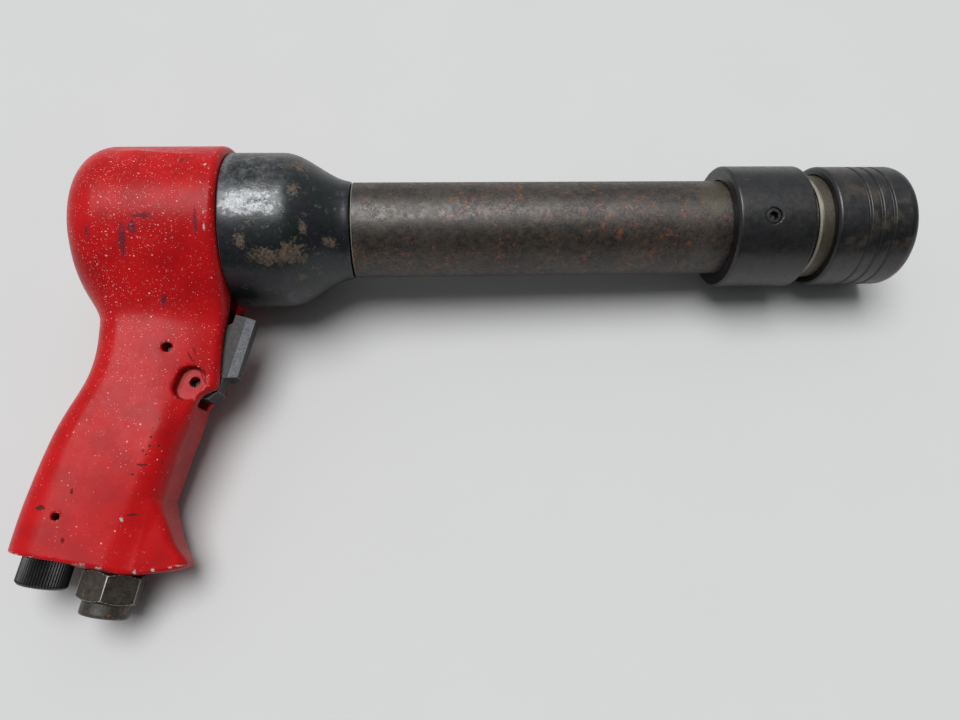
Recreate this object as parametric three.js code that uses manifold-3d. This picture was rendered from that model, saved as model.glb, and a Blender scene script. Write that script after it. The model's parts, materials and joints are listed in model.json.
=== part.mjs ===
// Pneumatic rivet hammer: a pistol-grip handle, a bell-shaped valve housing, a percussion barrel
// and a quick-change retainer. Millimetres. While it is being built, +X runs along the barrel to
// the muzzle, +Y runs from the grip up to the barrel, +Z is one side of the tool, and the zero
// point is on the barrel's axis where the bell meets the barrel. At the end the whole group is
// shifted, so that its origin is the bottom centre of its bounding box: the tool lies on its side.
import * as THREE from 'three';
import { mergeVertices } from 'three/addons/utils/BufferGeometryUtils.js';
import Module from 'manifold-3d';

const wasm = await Module();
wasm.setup();

// ---- driving dimensions --------------------------------------------------------------------
const GAP = 0.3; // running and assembly clearance between pieces
const BARREL_R = 19.5;
const BORE_R = 9.8;
const HEAD_R = 33.2;
const HEAD_FRONT = -46.7;
const HEAD_REAR = -102.9;
const HEAD_FILLET = 14;
const BELL_R = 31;
const SPIGOT_R = 27;
const HEAD_BORE_END = -80;
const CHAMBER_R = 20;
const CHAMBER_END = -90;
const VALVE_R = 22;
const VALVE_REAR = -73.5;
const VALVE_SPLIT = -55;
const VALVE_FRONT = -38.3;
const SPOOL_R = 7.7;
const SPOOL_LENGTH = 22;
const SPOOL_TRAVEL = 3;
const BARREL_TAIL_R = 15;
const BARREL_END = 176;
const PISTON_R = 9.5;
const PISTON_LENGTH = 60;
const PISTON_REAR = -36;
const COLLAR_R = 25.45;
const COLLAR_REAR = 153.9;
const COLLAR_FRONT = 186.1;
const SET_SCREW_X = 167.9;
const SET_SCREW_ANGLE = -16; // degrees from +Z towards +Y
const SET_SCREW_SOCKET = 3; // across the flats
const NECK_R = 21.6;
const NECK_REAR = 158.3;
const NECK_FRONT = 196;
const NOSE_R = 16.5;
const NOSE_BORE_R = 12.5;
const NOSE_FRONT = 229.2;
const SLEEVE_R = 25.15;
const SLEEVE_REAR = 195.3;
const SLEEVE_FRONT = 230.2;
const SLEEVE_GROOVES = [208.3, 213.3, 218.4];
const SHANK_R = 6.45; // bushing bore for a rivet set's 12.65 mm shank
const FLANGE_R = 11.5; // the bushing's flange
const BALL_R = 3.6;
const BALL_X = 214;
const BALL_RADIUS = 13.4; // distance of each ball's centre from the barrel's axis
const BALL_RAMP = 0.56; // how far a ball moves out for each millimetre of the sleeve's pull
const GRIP_TILT = 12.3; // degrees that the grip's axis leans back from the square to the barrel
const GRIP_HALF = 17; // half the grip's thickness
const GRIP_EDGE = 11; // radius of the grip's long edges
const GRIP_END = 145; // distance of the grip's bottom face along its own axis
const INLET_SIDE = -52.1; // sideways places of the parts in the grip, across its own axis
const REGULATOR_SIDE = -76.2;
const INLET_TOP = 120; // where the inlet bushing and the regulator's stem end inside the grip
const REGULATOR_TOP = 110;
const THROTTLE_DOWN = 57; // distance of the throttle's axis along the grip's axis
const THROTTLE_FACE = -49.5;
const TRIGGER_HALF = 5; // half its thickness
const TRIGGER_FACE_HALF = 2.7; // half the width of its flat front face
const TRIGGER_BEVEL = 4.2; // how far the front face stands out
const TRIGGER_PIN_R = 1.6;
const TRIGGER_PIVOT = [-56.7, -65.4];
const CROSS_PIN = [66, -53]; // pins through the grip: [along its axis, across it]
const REGULATOR_PIN = [130.9, -70.6];
const CROSS_PIN_R = 1.4;
const REGULATOR_PIN_R = 1;
const PIVOT_POCKET_R = 5; // round recess beside the trigger's pivot, and the side place of its floor
const PIVOT_POCKET_FLOOR = 9.2;
const THROTTLE_BORE_R = 9;
const STEM_R = 7; // regulator stem
const INLET_SHANK_R = 8;
const HEX_FLATS = 19.05;
const INLET_NOSE_R = 8.2;
const INLET_BORE_R = 5.6;
const KNOB_R = 8.4;

// ---- materials -----------------------------------------------------------------------------
const finish = (color, roughness, metalness) =>
  new THREE.MeshStandardMaterial({ color, roughness, metalness });
const redPaint = finish(0xb3121c, 0.4, 0.0);
const bluedSteel = finish(0x23282b, 0.4, 0.7);
const agedSteel = finish(0x2e2723, 0.55, 0.6);
const blackOxide = finish(0x1b1b1e, 0.4, 0.6);
const brightSteel = finish(0x9a9a98, 0.3, 0.9);
const greySteel = finish(0x5d6064, 0.45, 0.8);
const springSteel = finish(0x6d6f73, 0.35, 0.8);
const sealRubber = finish(0x151515, 0.8, 0.0);
const nylon = finish(0xd8d2bd, 0.6, 0.0);

// ---- shapes --------------------------------------------------------------------------------
const tilt = THREE.MathUtils.degToRad(GRIP_TILT);
const down = new THREE.Vector3(-Math.sin(tilt), -Math.cos(tilt), 0);
const side = new THREE.Vector3(Math.cos(tilt), -Math.sin(tilt), 0);

// A point in the grip: `along` its axis from the barrel's axis, `across` it, and `z` to the side.
function gripPoint(along, across, z = 0) {
  return new THREE.Vector3()
    .addScaledVector(down, along)
    .addScaledVector(side, across)
    .setZ(z);
}

// A body of revolution. The profile holds [distance along the axis, radius] pairs. It starts and
// ends at radius 0, or closes on itself. The axis is local +Y.
function lathe(profile, segments = 32) {
  const points = profile.map(([along, radius]) => new THREE.Vector2(radius, along));
  let area = 0;
  points.forEach((p, i) => {
    const q = points[(i + 1) % points.length];
    area += p.x * q.y - q.x * p.y;
  });
  if (area < 0) points.reverse();
  return new THREE.LatheGeometry(points, segments);
}

// A closed ring profile from its corners.
const ring = (corners) => [...corners, corners[0]];

// A tube or, with no inner radius, a rod.
function tube(from, to, outer, inner = 0, segments = 32) {
  if (inner === 0) return lathe([[from, 0], [from, outer], [to, outer], [to, 0]], segments);
  return lathe(ring([[from, inner], [from, outer], [to, outer], [to, inner]]), segments);
}

const onBarrel = (geometry) => geometry.rotateZ(-Math.PI / 2);

// Turns a body that stands on local +Y so that +Y runs along `direction` from `start`.
function along(geometry, start, direction) {
  const turn = new THREE.Quaternion();
  turn.setFromUnitVectors(new THREE.Vector3(0, 1, 0), direction.clone().normalize());
  return geometry.applyQuaternion(turn).translate(start.x, start.y, start.z);
}

const downGrip = (geometry, across) => along(geometry, gripPoint(0, across), down);
const acrossGrip = (geometry, depth) => along(geometry, gripPoint(depth, 0), side);
const towardsSide = new THREE.Vector3(0, 0, 1);
const acrossTool = (geometry, x, y) => along(geometry, new THREE.Vector3(x, y, 0), towardsSide);

// An outline in the XY plane, pushed out to both sides of z = 0.
function slab(shape, half, edge = 0) {
  const geometry = new THREE.ExtrudeGeometry(shape, {
    depth: 2 * (half - edge),
    bevelEnabled: edge > 0,
    bevelThickness: edge,
    bevelSize: edge,
    bevelOffset: -edge,
    bevelSegments: 4,
    curveSegments: 8,
  });
  return geometry.translate(0, 0, edge - half);
}

// A flat outline from points that are either [x, y] pairs or vectors.
function polygon(points) {
  return new THREE.Shape(points.map((p) => new THREE.Vector2(p.x ?? p[0], p.y ?? p[1])));
}

// ---- cutting and joining -------------------------------------------------------------------
function solid(geometry) {
  const bare = geometry.index ? geometry.toNonIndexed() : geometry.clone();
  bare.deleteAttribute('normal');
  bare.deleteAttribute('uv');
  const merged = mergeVertices(bare, 1e-3);
  const triVerts = new Uint32Array(merged.index.array);
  const vertProperties = merged.attributes.position.array;
  return new wasm.Manifold(new wasm.Mesh({ numProp: 3, vertProperties, triVerts }));
}

function geometryOf(body) {
  const mesh = body.getMesh();
  const geometry = new THREE.BufferGeometry();
  const positions = new Float32Array(mesh.vertProperties);
  geometry.setAttribute('position', new THREE.BufferAttribute(positions, 3));
  geometry.setIndex(new THREE.BufferAttribute(new Uint32Array(mesh.triVerts), 1));
  return geometry;
}

function join(...geometries) {
  return geometryOf(geometries.map(solid).reduce((a, b) => a.add(b)));
}

function cut(geometry, ...tools) {
  return geometryOf(tools.map(solid).reduce((a, b) => a.subtract(b), solid(geometry)));
}

// ---- assembly ------------------------------------------------------------------------------
const tool = new THREE.Group();

function place(name, geometry, material) {
  const mesh = new THREE.Mesh(geometry, material);
  mesh.name = name;
  tool.add(mesh);
}

// ---- springs and seals ---------------------------------------------------------------------
class Helix extends THREE.Curve {
  constructor(from, to, radius, turns) {
    super();
    Object.assign(this, { from, to, radius, turns });
  }
  getPoint(t, target = new THREE.Vector3()) {
    const angle = 2 * Math.PI * this.turns * t;
    const rise = this.from + (this.to - this.from) * t;
    return target.set(this.radius * Math.cos(angle), rise, this.radius * Math.sin(angle));
  }
}

function polygonCircle(radius, sides) {
  const points = [];
  for (let i = 0; i < sides; i++) {
    const angle = (2 * Math.PI * i) / sides;
    points.push(new THREE.Vector2(radius * Math.cos(angle), radius * Math.sin(angle)));
  }
  return new THREE.Shape(points);
}

function spring(from, to, radius, wire, turns) {
  const extrudePath = new Helix(from + wire, to - wire, radius, turns);
  const steps = turns * 10;
  return new THREE.ExtrudeGeometry(polygonCircle(wire, 5), { steps, bevelEnabled: false, extrudePath });
}

// A seal ring of round section: its middle lies at `centre` along the axis, at `radius`.
function sealRing(centre, radius, section) {
  const profile = [];
  for (let i = 0; i < 6; i++) {
    const angle = (2 * Math.PI * i) / 6;
    profile.push([centre + section * Math.cos(angle), radius + section * Math.sin(angle)]);
  }
  return lathe(ring(profile), 20);
}

// ---- handle --------------------------------------------------------------------------------
function headSolid() {
  const profile = [[HEAD_REAR, 0], [HEAD_REAR, HEAD_R - HEAD_FILLET]];
  const steps = 5;
  for (let i = 1; i <= steps; i++) {
    const angle = (Math.PI / 2) * (i / steps);
    const back = HEAD_REAR + HEAD_FILLET * (1 - Math.cos(angle));
    profile.push([back, HEAD_R - HEAD_FILLET * (1 - Math.sin(angle))]);
  }
  profile.push([HEAD_FRONT, HEAD_R + 0.3], [HEAD_FRONT, 0]);
  return onBarrel(lathe(profile, 36));
}

// Where the grip's rear and front edges run: [distance along the grip's axis, place across it].
const GRIP_REAR = [
  [10, -94.5], [32, -93.6], [46, -88], [62, -82.2], [80, -80], [104, -84.6], [128, -86.4], [GRIP_END, -86.2],
];
const GRIP_FRONT = [
  [10, -46.5], [44, -39], [60, -36.2], [75, -33.6], [78, -35.6], [82, -39], [92, -39.3],
  [101, -40.3], [114, -40.8], [122, -39.8], [133, -33.2], [140, -28], [GRIP_END, -40],
];
const GRIP_WIDEST = -72; // place across the grip from which it narrows towards the front
const GRIP_NARROWING = 8; // how much thinner each side is at the front edge
const FRONT_EDGE = 2.5; // corner radius of the front edge
const NARROWING_CHANGE = 100; // from here down, the narrowing turns from a curve into a straight slope

// A smooth curve through the points of an edge, read at one distance along the grip.
function edgeReader(points) {
  const curve = new THREE.SplineCurve(points.map(([a, b]) => new THREE.Vector2(a, b)));
  const dense = curve.getPoints(120);
  return (distance) => {
    const i = Math.max(1, dense.findIndex((p) => p.x >= distance - 1e-6));
    const from = dense[i - 1];
    const to = dense[i];
    return from.y + ((to.y - from.y) * (distance - from.x)) / (to.x - from.x);
  };
}

// Half the grip's thickness at a place across it: full behind, and less towards the front edge.
function halfThickness(distance, across, front) {
  const share = Math.max(0, (across - GRIP_WIDEST) / (front - GRIP_WIDEST));
  const lower = Math.max(0, (distance - NARROWING_CHANGE) / (GRIP_END - NARROWING_CHANGE));
  const power = 2 - lower;
  return GRIP_HALF - GRIP_NARROWING * Math.pow(share, power);
}

// One cross-section of the grip, as a closed row of points in space.
function gripSection(distance, rear, front) {
  const edge = halfThickness(distance, front - FRONT_EDGE, front);
  const half = [];
  for (let i = 0; i <= 2; i++) {
    const angle = (Math.PI / 4) * i;
    half.push([front - FRONT_EDGE * (1 - Math.cos(angle)), edge - FRONT_EDGE * (1 - Math.sin(angle))]);
  }
  for (const share of [0.75, 0.5, 0.25, 0]) {
    const across = GRIP_WIDEST + share * (front - GRIP_WIDEST);
    half.push([across, halfThickness(distance, across, front)]);
  }
  for (let i = 1; i <= 3; i++) {
    const angle = (Math.PI / 6) * i;
    half.push([rear + GRIP_EDGE * (1 - Math.sin(angle)), GRIP_HALF - GRIP_EDGE * (1 - Math.cos(angle))]);
  }
  const mirrored = half.map(([across, z]) => [across, -z]).reverse();
  return [...half, ...mirrored].map(([across, z]) => gripPoint(distance, across, z));
}

// A closed skin over a row of sections that have the same number of points.
function loft(sections) {
  const count = sections[0].length;
  const middle = (section) => section.reduce((a, p) => a.add(p), new THREE.Vector3()).divideScalar(count);
  const points = [...sections.flat(), middle(sections[0]), middle(sections.at(-1))];
  const index = [];
  sections.slice(1).forEach((_, row) => {
    for (let i = 0; i < count; i++) {
      const a = row * count + i;
      const b = row * count + ((i + 1) % count);
      index.push(a, b, a + count, b, b + count, a + count);
    }
  });
  const last = (sections.length - 1) * count;
  for (let i = 0; i < count; i++) {
    const next = (i + 1) % count;
    index.push(sections.length * count, next, i);
    index.push(sections.length * count + 1, last + i, last + next);
  }
  return new THREE.BufferGeometry().setFromPoints(points).setIndex(index);
}

function gripSolid() {
  const rearAt = edgeReader(GRIP_REAR);
  const frontAt = edgeReader(GRIP_FRONT);
  const stations = [10, 32, 46, 62, 75, 78, 82, 92, 104, 114, 124, 133, 140, GRIP_END];
  return loft(stations.map((d) => gripSection(d, rearAt(d), frontAt(d))));
}

// The slot that the trigger swings in, open to the front: [along the grip's axis, across it].
function triggerSlot() {
  const outline = [[36, -20], [36, THROTTLE_FACE], [74, THROTTLE_FACE], [82, -46], [90, -20]];
  return slab(polygon(outline.map((p) => gripPoint(...p))), TRIGGER_HALF + GAP);
}

// Air runs from the inlet to the regulator, up to the throttle, and from there to the chamber.
function airPassages() {
  const fromThrottle = gripPoint(THROTTLE_DOWN, -58);
  const chamber = new THREE.Vector3(CHAMBER_END + 5, -8, 0);
  const toChamber = chamber.clone().sub(fromThrottle);
  const past = 5; // how far a cutting body runs out past the face that it opens
  return [
    onBarrel(tube(HEAD_BORE_END, HEAD_FRONT + past, SPIGOT_R + GAP, 0, 32)),
    onBarrel(tube(CHAMBER_END, HEAD_BORE_END + 1, CHAMBER_R, 0, 24)),
    downGrip(tube(INLET_TOP - 4, GRIP_END + past, INLET_SHANK_R + GAP, 0, 24), INLET_SIDE),
    acrossGrip(tube(REGULATOR_SIDE, INLET_SIDE, 3.6, 0, 12), INLET_TOP - 2),
    downGrip(tube(REGULATOR_TOP - 2, GRIP_END + past, STEM_R + GAP, 0, 24), REGULATOR_SIDE),
    downGrip(tube(THROTTLE_DOWN, REGULATOR_TOP, 4, 0, 12), REGULATOR_SIDE + 1),
    acrossGrip(tube(-80, THROTTLE_FACE + 1, THROTTLE_BORE_R, 0, 24), THROTTLE_DOWN),
    along(tube(0, toChamber.length(), 4.5, 0, 12), fromThrottle, toChamber),
  ];
}

function pinHoles() {
  const [pivotX, pivotY] = TRIGGER_PIVOT;
  const crossPin = gripPoint(...CROSS_PIN);
  const regulatorPin = gripPoint(...REGULATOR_PIN);
  const outside = 30;
  const blindEnd = -8;
  return [
    acrossTool(tube(-outside, outside, TRIGGER_PIN_R + GAP, 0, 12), pivotX, pivotY),
    acrossTool(tube(PIVOT_POCKET_FLOOR, outside, PIVOT_POCKET_R, 0, 20), pivotX - 0.5, pivotY + 0.5),
    acrossTool(tube(-outside, outside, CROSS_PIN_R + 0.4, 0, 12), crossPin.x, crossPin.y),
    acrossTool(tube(blindEnd, outside, REGULATOR_PIN_R + GAP, 0, 10), regulatorPin.x, regulatorPin.y),
  ];
}

function makeHandle() {
  const outside = join(headSolid(), gripSolid());
  place('handle', cut(outside, ...airPassages(), triggerSlot(), ...pinHoles()), redPaint);
}

// ---- bell housing and valve ----------------------------------------------------------------
// The bell's outside, from its full radius to the barrel: [place along the barrel, radius].
const BELL_CURVE = [
  [-33, BELL_R], [-28.7, 30.8], [-24.6, 30.5], [-20.5, 29.7], [-16.4, 28], [-12.3, 25.5], [-8.2, 22.9],
  [-4.1, 20.7], [0, BARREL_R + 0.1],
];
const BELL_SEAL_X = -70;
const BELL_SEAL_GROOVE = 1.6; // half the groove's width

function makeBell() {
  const mouth = BARREL_TAIL_R + GAP;
  const chamber = VALVE_R + GAP;
  const rim = HEAD_FRONT + GAP;
  const rear = VALVE_REAR - 1;
  const grooveR = SPIGOT_R - 1.8;
  const outline = [
    [rear, chamber], [rear, SPIGOT_R],
    [BELL_SEAL_X - BELL_SEAL_GROOVE, SPIGOT_R], [BELL_SEAL_X - BELL_SEAL_GROOVE, grooveR],
    [BELL_SEAL_X + BELL_SEAL_GROOVE, grooveR], [BELL_SEAL_X + BELL_SEAL_GROOVE, SPIGOT_R],
    [rim, SPIGOT_R], [rim, BELL_R], ...BELL_CURVE,
    [0, mouth], [VALVE_FRONT + GAP, mouth], [VALVE_FRONT + GAP, chamber],
  ];
  place('bell_housing', onBarrel(lathe(ring(outline), 32)), bluedSteel);
  place('bell_seal_ring', onBarrel(sealRing(BELL_SEAL_X, SPIGOT_R - 0.7, 0.9)), sealRubber);
}

function makeValve() {
  const bore = SPOOL_R + GAP;
  const spoolRear = VALVE_REAR + 5;
  const spoolFront = spoolRear + SPOOL_LENGTH;
  const boreEnd = spoolFront + SPOOL_TRAVEL + GAP;
  const rearBox = [
    [VALVE_REAR, 4], [VALVE_REAR, VALVE_R], [VALVE_SPLIT - GAP, VALVE_R], [VALVE_SPLIT - GAP, bore],
    [spoolRear - GAP, bore], [spoolRear - GAP, 4],
  ];
  const frontBox = [
    [VALVE_SPLIT, bore], [VALVE_SPLIT, VALVE_R], [VALVE_FRONT, VALVE_R], [VALVE_FRONT, 5],
    [boreEnd, 5], [boreEnd, bore],
  ];
  const dowelPlaces = [15, -15];
  const dowelR = 1.5;
  const dowel = (z, radius, reach) =>
    onBarrel(tube(VALVE_SPLIT - reach, VALVE_SPLIT + reach, radius, 0, 10)).translate(0, 0, z);
  const holes = dowelPlaces.map((z) => dowel(z, dowelR + GAP, 6 + GAP));
  place('valve_box_rear', cut(onBarrel(lathe(ring(rearBox), 32)), ...holes), greySteel);
  place('valve_box_front', cut(onBarrel(lathe(ring(frontBox), 32)), ...holes), greySteel);
  dowelPlaces.forEach((z, i) => {
    place(`valve_dowel_pin_${i + 1}`, dowel(z, dowelR, 6), brightSteel);
  });
  const waist = 6.2;
  const spool = [
    [spoolRear, 3.5], [spoolRear, SPOOL_R], [spoolRear + 5, SPOOL_R], [spoolRear + 6, waist],
    [spoolFront - 6, waist], [spoolFront - 5, SPOOL_R], [spoolFront, SPOOL_R], [spoolFront, 3.5],
  ];
  place('spool_valve', onBarrel(lathe(ring(spool), 24)), brightSteel);
}

// ---- barrel and piston ---------------------------------------------------------------------
function makeBarrel() {
  const outline = [
    [VALVE_FRONT + GAP, BORE_R], [VALVE_FRONT + GAP, BARREL_TAIL_R], [GAP, BARREL_TAIL_R], [GAP, BARREL_R],
    [BARREL_END, BARREL_R], [BARREL_END, BORE_R],
  ];
  place('barrel', onBarrel(lathe(ring(outline), 32)), agedSteel);
  const front = PISTON_REAR + PISTON_LENGTH;
  const hammerR = 8;
  const piston = [
    [PISTON_REAR, 0], [PISTON_REAR, PISTON_R - 1], [PISTON_REAR + 1, PISTON_R], [front - 14, PISTON_R],
    [front - 12, hammerR], [front - 1, hammerR], [front, hammerR - 1], [front, 0],
  ];
  place('piston', onBarrel(lathe(piston, 24)), brightSteel);
}

// The bushing sits in the barrel's front end, with a flange in front of it.
function makeShankBushing() {
  const rear = BARREL_END - 16;
  const flange = BARREL_END + GAP;
  const bodyR = BORE_R - GAP;
  const outline = [
    [rear, SHANK_R], [rear, bodyR], [flange, bodyR], [flange, FLANGE_R], [NECK_FRONT, FLANGE_R],
    [NECK_FRONT, SHANK_R + 1], [NECK_FRONT - 1, SHANK_R],
  ];
  place('shank_bushing', onBarrel(lathe(ring(outline), 24)), blackOxide);
}

// ---- lock collar ---------------------------------------------------------------------------
// A body that stands on local +Y is turned to point out from the barrel's axis at `x`.
function outFromBarrel(geometry, x, degrees) {
  const angle = THREE.MathUtils.degToRad(degrees);
  const direction = new THREE.Vector3(0, Math.sin(angle), Math.cos(angle));
  return along(geometry, new THREE.Vector3(x, 0, 0), direction);
}

function makeCollar() {
  const edge = 1;
  const screwR = 3;
  const outline = [
    [COLLAR_REAR, BARREL_R + GAP], [COLLAR_REAR, COLLAR_R - edge], [COLLAR_REAR + edge, COLLAR_R],
    [COLLAR_FRONT - edge, COLLAR_R], [COLLAR_FRONT, COLLAR_R - edge], [COLLAR_FRONT, NECK_R + GAP],
    [NECK_REAR - GAP, NECK_R + GAP], [NECK_REAR - GAP, BARREL_R + GAP],
  ];
  const angles = [0, 120, 240].map((turn) => SET_SCREW_ANGLE + turn);
  const hole = () => tube(BARREL_R, COLLAR_R + 5, screwR + GAP, 0, 12);
  const holes = angles.map((angle) => outFromBarrel(hole(), SET_SCREW_X, angle));
  place('lock_collar', cut(onBarrel(lathe(ring(outline), 32)), ...holes), blackOxide);
  angles.forEach((angle, i) => {
    const socket = hexPrism(COLLAR_R - 2.5, COLLAR_R + 1, SET_SCREW_SOCKET);
    const screw = cut(tube(NECK_R + GAP, COLLAR_R - 0.4, screwR, 0, 16), socket);
    place(`set_screw_${i + 1}`, outFromBarrel(screw, SET_SCREW_X, angle), blackOxide);
  });
}

// A hexagonal prism along local +Y, with `flats` between opposite faces.
function hexPrism(from, to, flats) {
  const corner = flats / Math.sqrt(3);
  return new THREE.CylinderGeometry(corner, corner, to - from, 6).translate(0, (from + to) / 2, 0);
}

// ---- quick-change retainer -----------------------------------------------------------------
const BALL_ANGLES = [30, 150, 270];
const STOP_RING_REAR = 226.8;
const STOP_RING_FRONT = 227.9;
const STOP_RING_R = 18.6;
const STOP_GROOVE = 1.2; // depth of its groove in the nose

function makeRetainer() {
  const grooveRear = STOP_RING_REAR - 0.4;
  const grooveFront = STOP_RING_FRONT + GAP;
  const seatR = FLANGE_R + GAP;
  const body = [
    [NECK_REAR, BARREL_R + GAP], [NECK_REAR, NECK_R], [NECK_FRONT, NECK_R], [NECK_FRONT, NOSE_R],
    [grooveRear, NOSE_R], [grooveRear, NOSE_R - STOP_GROOVE], [grooveFront, NOSE_R - STOP_GROOVE],
    [grooveFront, NOSE_R], [NOSE_FRONT, NOSE_R], [NOSE_FRONT, NOSE_BORE_R + 1],
    [NOSE_FRONT - 1, NOSE_BORE_R], [NECK_FRONT + GAP, NOSE_BORE_R], [NECK_FRONT + GAP, seatR],
    [BARREL_END + GAP, seatR], [BARREL_END + GAP, BARREL_R + GAP],
  ];
  const pocket = () => tube(8, 20, BALL_R + GAP, 0, 12);
  const pockets = BALL_ANGLES.map((angle) => outFromBarrel(pocket(), BALL_X, angle));
  place('retainer_body', cut(onBarrel(lathe(ring(body), 28)), ...pockets), agedSteel);
  BALL_ANGLES.forEach((angle, i) => {
    const ball = new THREE.SphereGeometry(BALL_R, 12, 8).translate(0, BALL_RADIUS, 0);
    place(`lock_ball_${i + 1}`, outFromBarrel(ball, BALL_X, angle), brightSteel);
  });
  const innerR = NOSE_R - STOP_GROOVE + GAP;
  const stopRing = tube(STOP_RING_REAR, STOP_RING_FRONT, STOP_RING_R, innerR, 24);
  place('sleeve_stop_ring', onBarrel(stopRing), springSteel);
}

function makeSleeve() {
  const recessR = STOP_RING_R + 1;
  const recessRear = STOP_RING_REAR - GAP;
  const springSeat = 208;
  const behindR = NECK_R + GAP + 0.1;
  const outside = [[SLEEVE_REAR, SLEEVE_R - 1.8], [SLEEVE_REAR + 1.8, SLEEVE_R]];
  SLEEVE_GROOVES.forEach((x) => {
    outside.push([x - 0.8, SLEEVE_R], [x, SLEEVE_R - 0.6], [x + 0.8, SLEEVE_R]);
  });
  outside.push([SLEEVE_FRONT - 3.5, SLEEVE_R]);
  outside.push([SLEEVE_FRONT - 1.3, SLEEVE_R - 0.8], [SLEEVE_FRONT, SLEEVE_R - 2.4]);
  const land = BALL_RADIUS + BALL_R + GAP;
  const rampStart = BALL_X - 0.8;
  const rampEnd = BALL_X + 5.8;
  const relief = land + BALL_RAMP * (rampEnd - rampStart);
  const ribRear = recessRear - 2.5;
  const inside = [
    [SLEEVE_FRONT, recessR], [recessRear, recessR], [recessRear, NOSE_R + GAP], [ribRear, NOSE_R + GAP],
    [ribRear, relief], [rampEnd, relief], [rampStart, land], [springSeat, land], [springSeat, behindR],
    [SLEEVE_REAR, behindR],
  ];
  place('retainer_sleeve', onBarrel(lathe(ring([...outside, ...inside]), 32)), blackOxide);
  const coil = spring(NECK_FRONT + GAP, springSeat - GAP, 19.2, 0.9, 3);
  place('sleeve_spring', onBarrel(coil), springSteel);
}

// ---- trigger and throttle ------------------------------------------------------------------
// The trigger's side outline starts with the top and the lower end of the finger pad's foot.
const TRIGGER_OUTLINE = [
  [-41.5, -38.7], [-47.7, -62.6], [-49.5, -68.2], [-53, -71], [-57.5, -70.6], [-60.5, -67.8],
  [-60.6, -64], [-56.5, -60.5], [-54.8, -46.5],
];

// The pad's front: a bevelled block whose flat face is smaller than its foot on every side.
function triggerFront() {
  const [footTop, footEnd] = TRIGGER_OUTLINE;
  const lean = Math.atan2(footTop[0] - footEnd[0], footTop[1] - footEnd[1]);
  const length = Math.hypot(footTop[0] - footEnd[0], footTop[1] - footEnd[1]);
  const sunk = 3;
  function corners(half, near, far, out) {
    return [[near, -half, out], [far, -half, out], [far, half, out], [near, half, out]];
  }
  const rings = [
    corners(TRIGGER_HALF, 0, length, -sunk),
    corners(TRIGGER_HALF, 0, length, 0),
    corners(TRIGGER_FACE_HALF, 1.4, length + 0.3, TRIGGER_BEVEL),
  ];
  const toTool = ([up, z, out]) =>
    new THREE.Vector3(
      footEnd[0] + up * Math.sin(lean) + out * Math.cos(lean),
      footEnd[1] + up * Math.cos(lean) - out * Math.sin(lean),
      z,
    );
  return loft(rings.map((corner) => corner.map(toTool)));
}

function makeTrigger() {
  const [pivotX, pivotY] = TRIGGER_PIVOT;
  const plate = slab(polygon(TRIGGER_OUTLINE), TRIGGER_HALF);
  const hole = acrossTool(tube(-20, 20, TRIGGER_PIN_R + GAP, 0, 12), pivotX, pivotY);
  place('trigger', cut(join(plate, triggerFront()), hole), greySteel);
  const pin = acrossTool(tube(-10.5, PIVOT_POCKET_FLOOR - 0.6, TRIGGER_PIN_R, 0, 12), pivotX, pivotY);
  place('trigger_pin', pin, brightSteel);
}

// The throttle's pieces stand in one bore across the grip. Their profiles hold places across it.
const THROTTLE_SEAT = -64;
const THROTTLE_BUSHING_PROFILE = [
  [THROTTLE_FACE - 0.2, 2.6], [THROTTLE_FACE - 0.2, 8.7], [-50.8, 8.7], [-50.8, 7], [-55.2, 7],
  [-55.2, 8.7], [-57, 8.7], [-57, 7.2], [-61, 7.2], [-61, 8.7], [THROTTLE_SEAT, 8.7],
  [THROTTLE_SEAT, 4.6], [-58, 4.6], [-58, 2.6],
];
const THROTTLE_STEM_PROFILE = [
  [-66.1, 0], [-66.1, 1.6], [-55.6, 1.6], [-55.6, 2.3], [-44.8, 2.3], [-44.2, 1.7], [-44.2, 0],
];
const THROTTLE_VALVE_PROFILE = [[-70.2, 0], [-70.2, 3], [-66.8, 5.4], [-66.4, 5.4], [-66.4, 0]];

function makeThrottle() {
  function placeInBore(name, geometry, material) {
    place(name, acrossGrip(geometry, THROTTLE_DOWN), material);
  }
  const crossPin = gripPoint(...CROSS_PIN);
  const pin = acrossTool(tube(-14, 13.5, CROSS_PIN_R, 0, 10), crossPin.x, crossPin.y);
  place('throttle_bushing_pin', pin, agedSteel);
  const window = along(tube(-8, 8, 1.5, 0, 10), new THREE.Vector3(0, -59.5, 0), new THREE.Vector3(1, 0, 0));
  placeInBore('throttle_bushing', cut(lathe(ring(THROTTLE_BUSHING_PROFILE), 24), window), brightSteel);
  const seatFront = THROTTLE_SEAT - GAP;
  placeInBore('throttle_seat', tube(seatFront - 1.5, seatFront, 8.6, 3.2, 24), nylon);
  placeInBore('throttle_stem', lathe(THROTTLE_STEM_PROFILE, 16), brightSteel);
  placeInBore('throttle_valve', lathe(THROTTLE_VALVE_PROFILE, 20), sealRubber);
  placeInBore('throttle_spring', spring(-79.6, -70.5, 3.4, 0.5, 4), springSteel);
}

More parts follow.
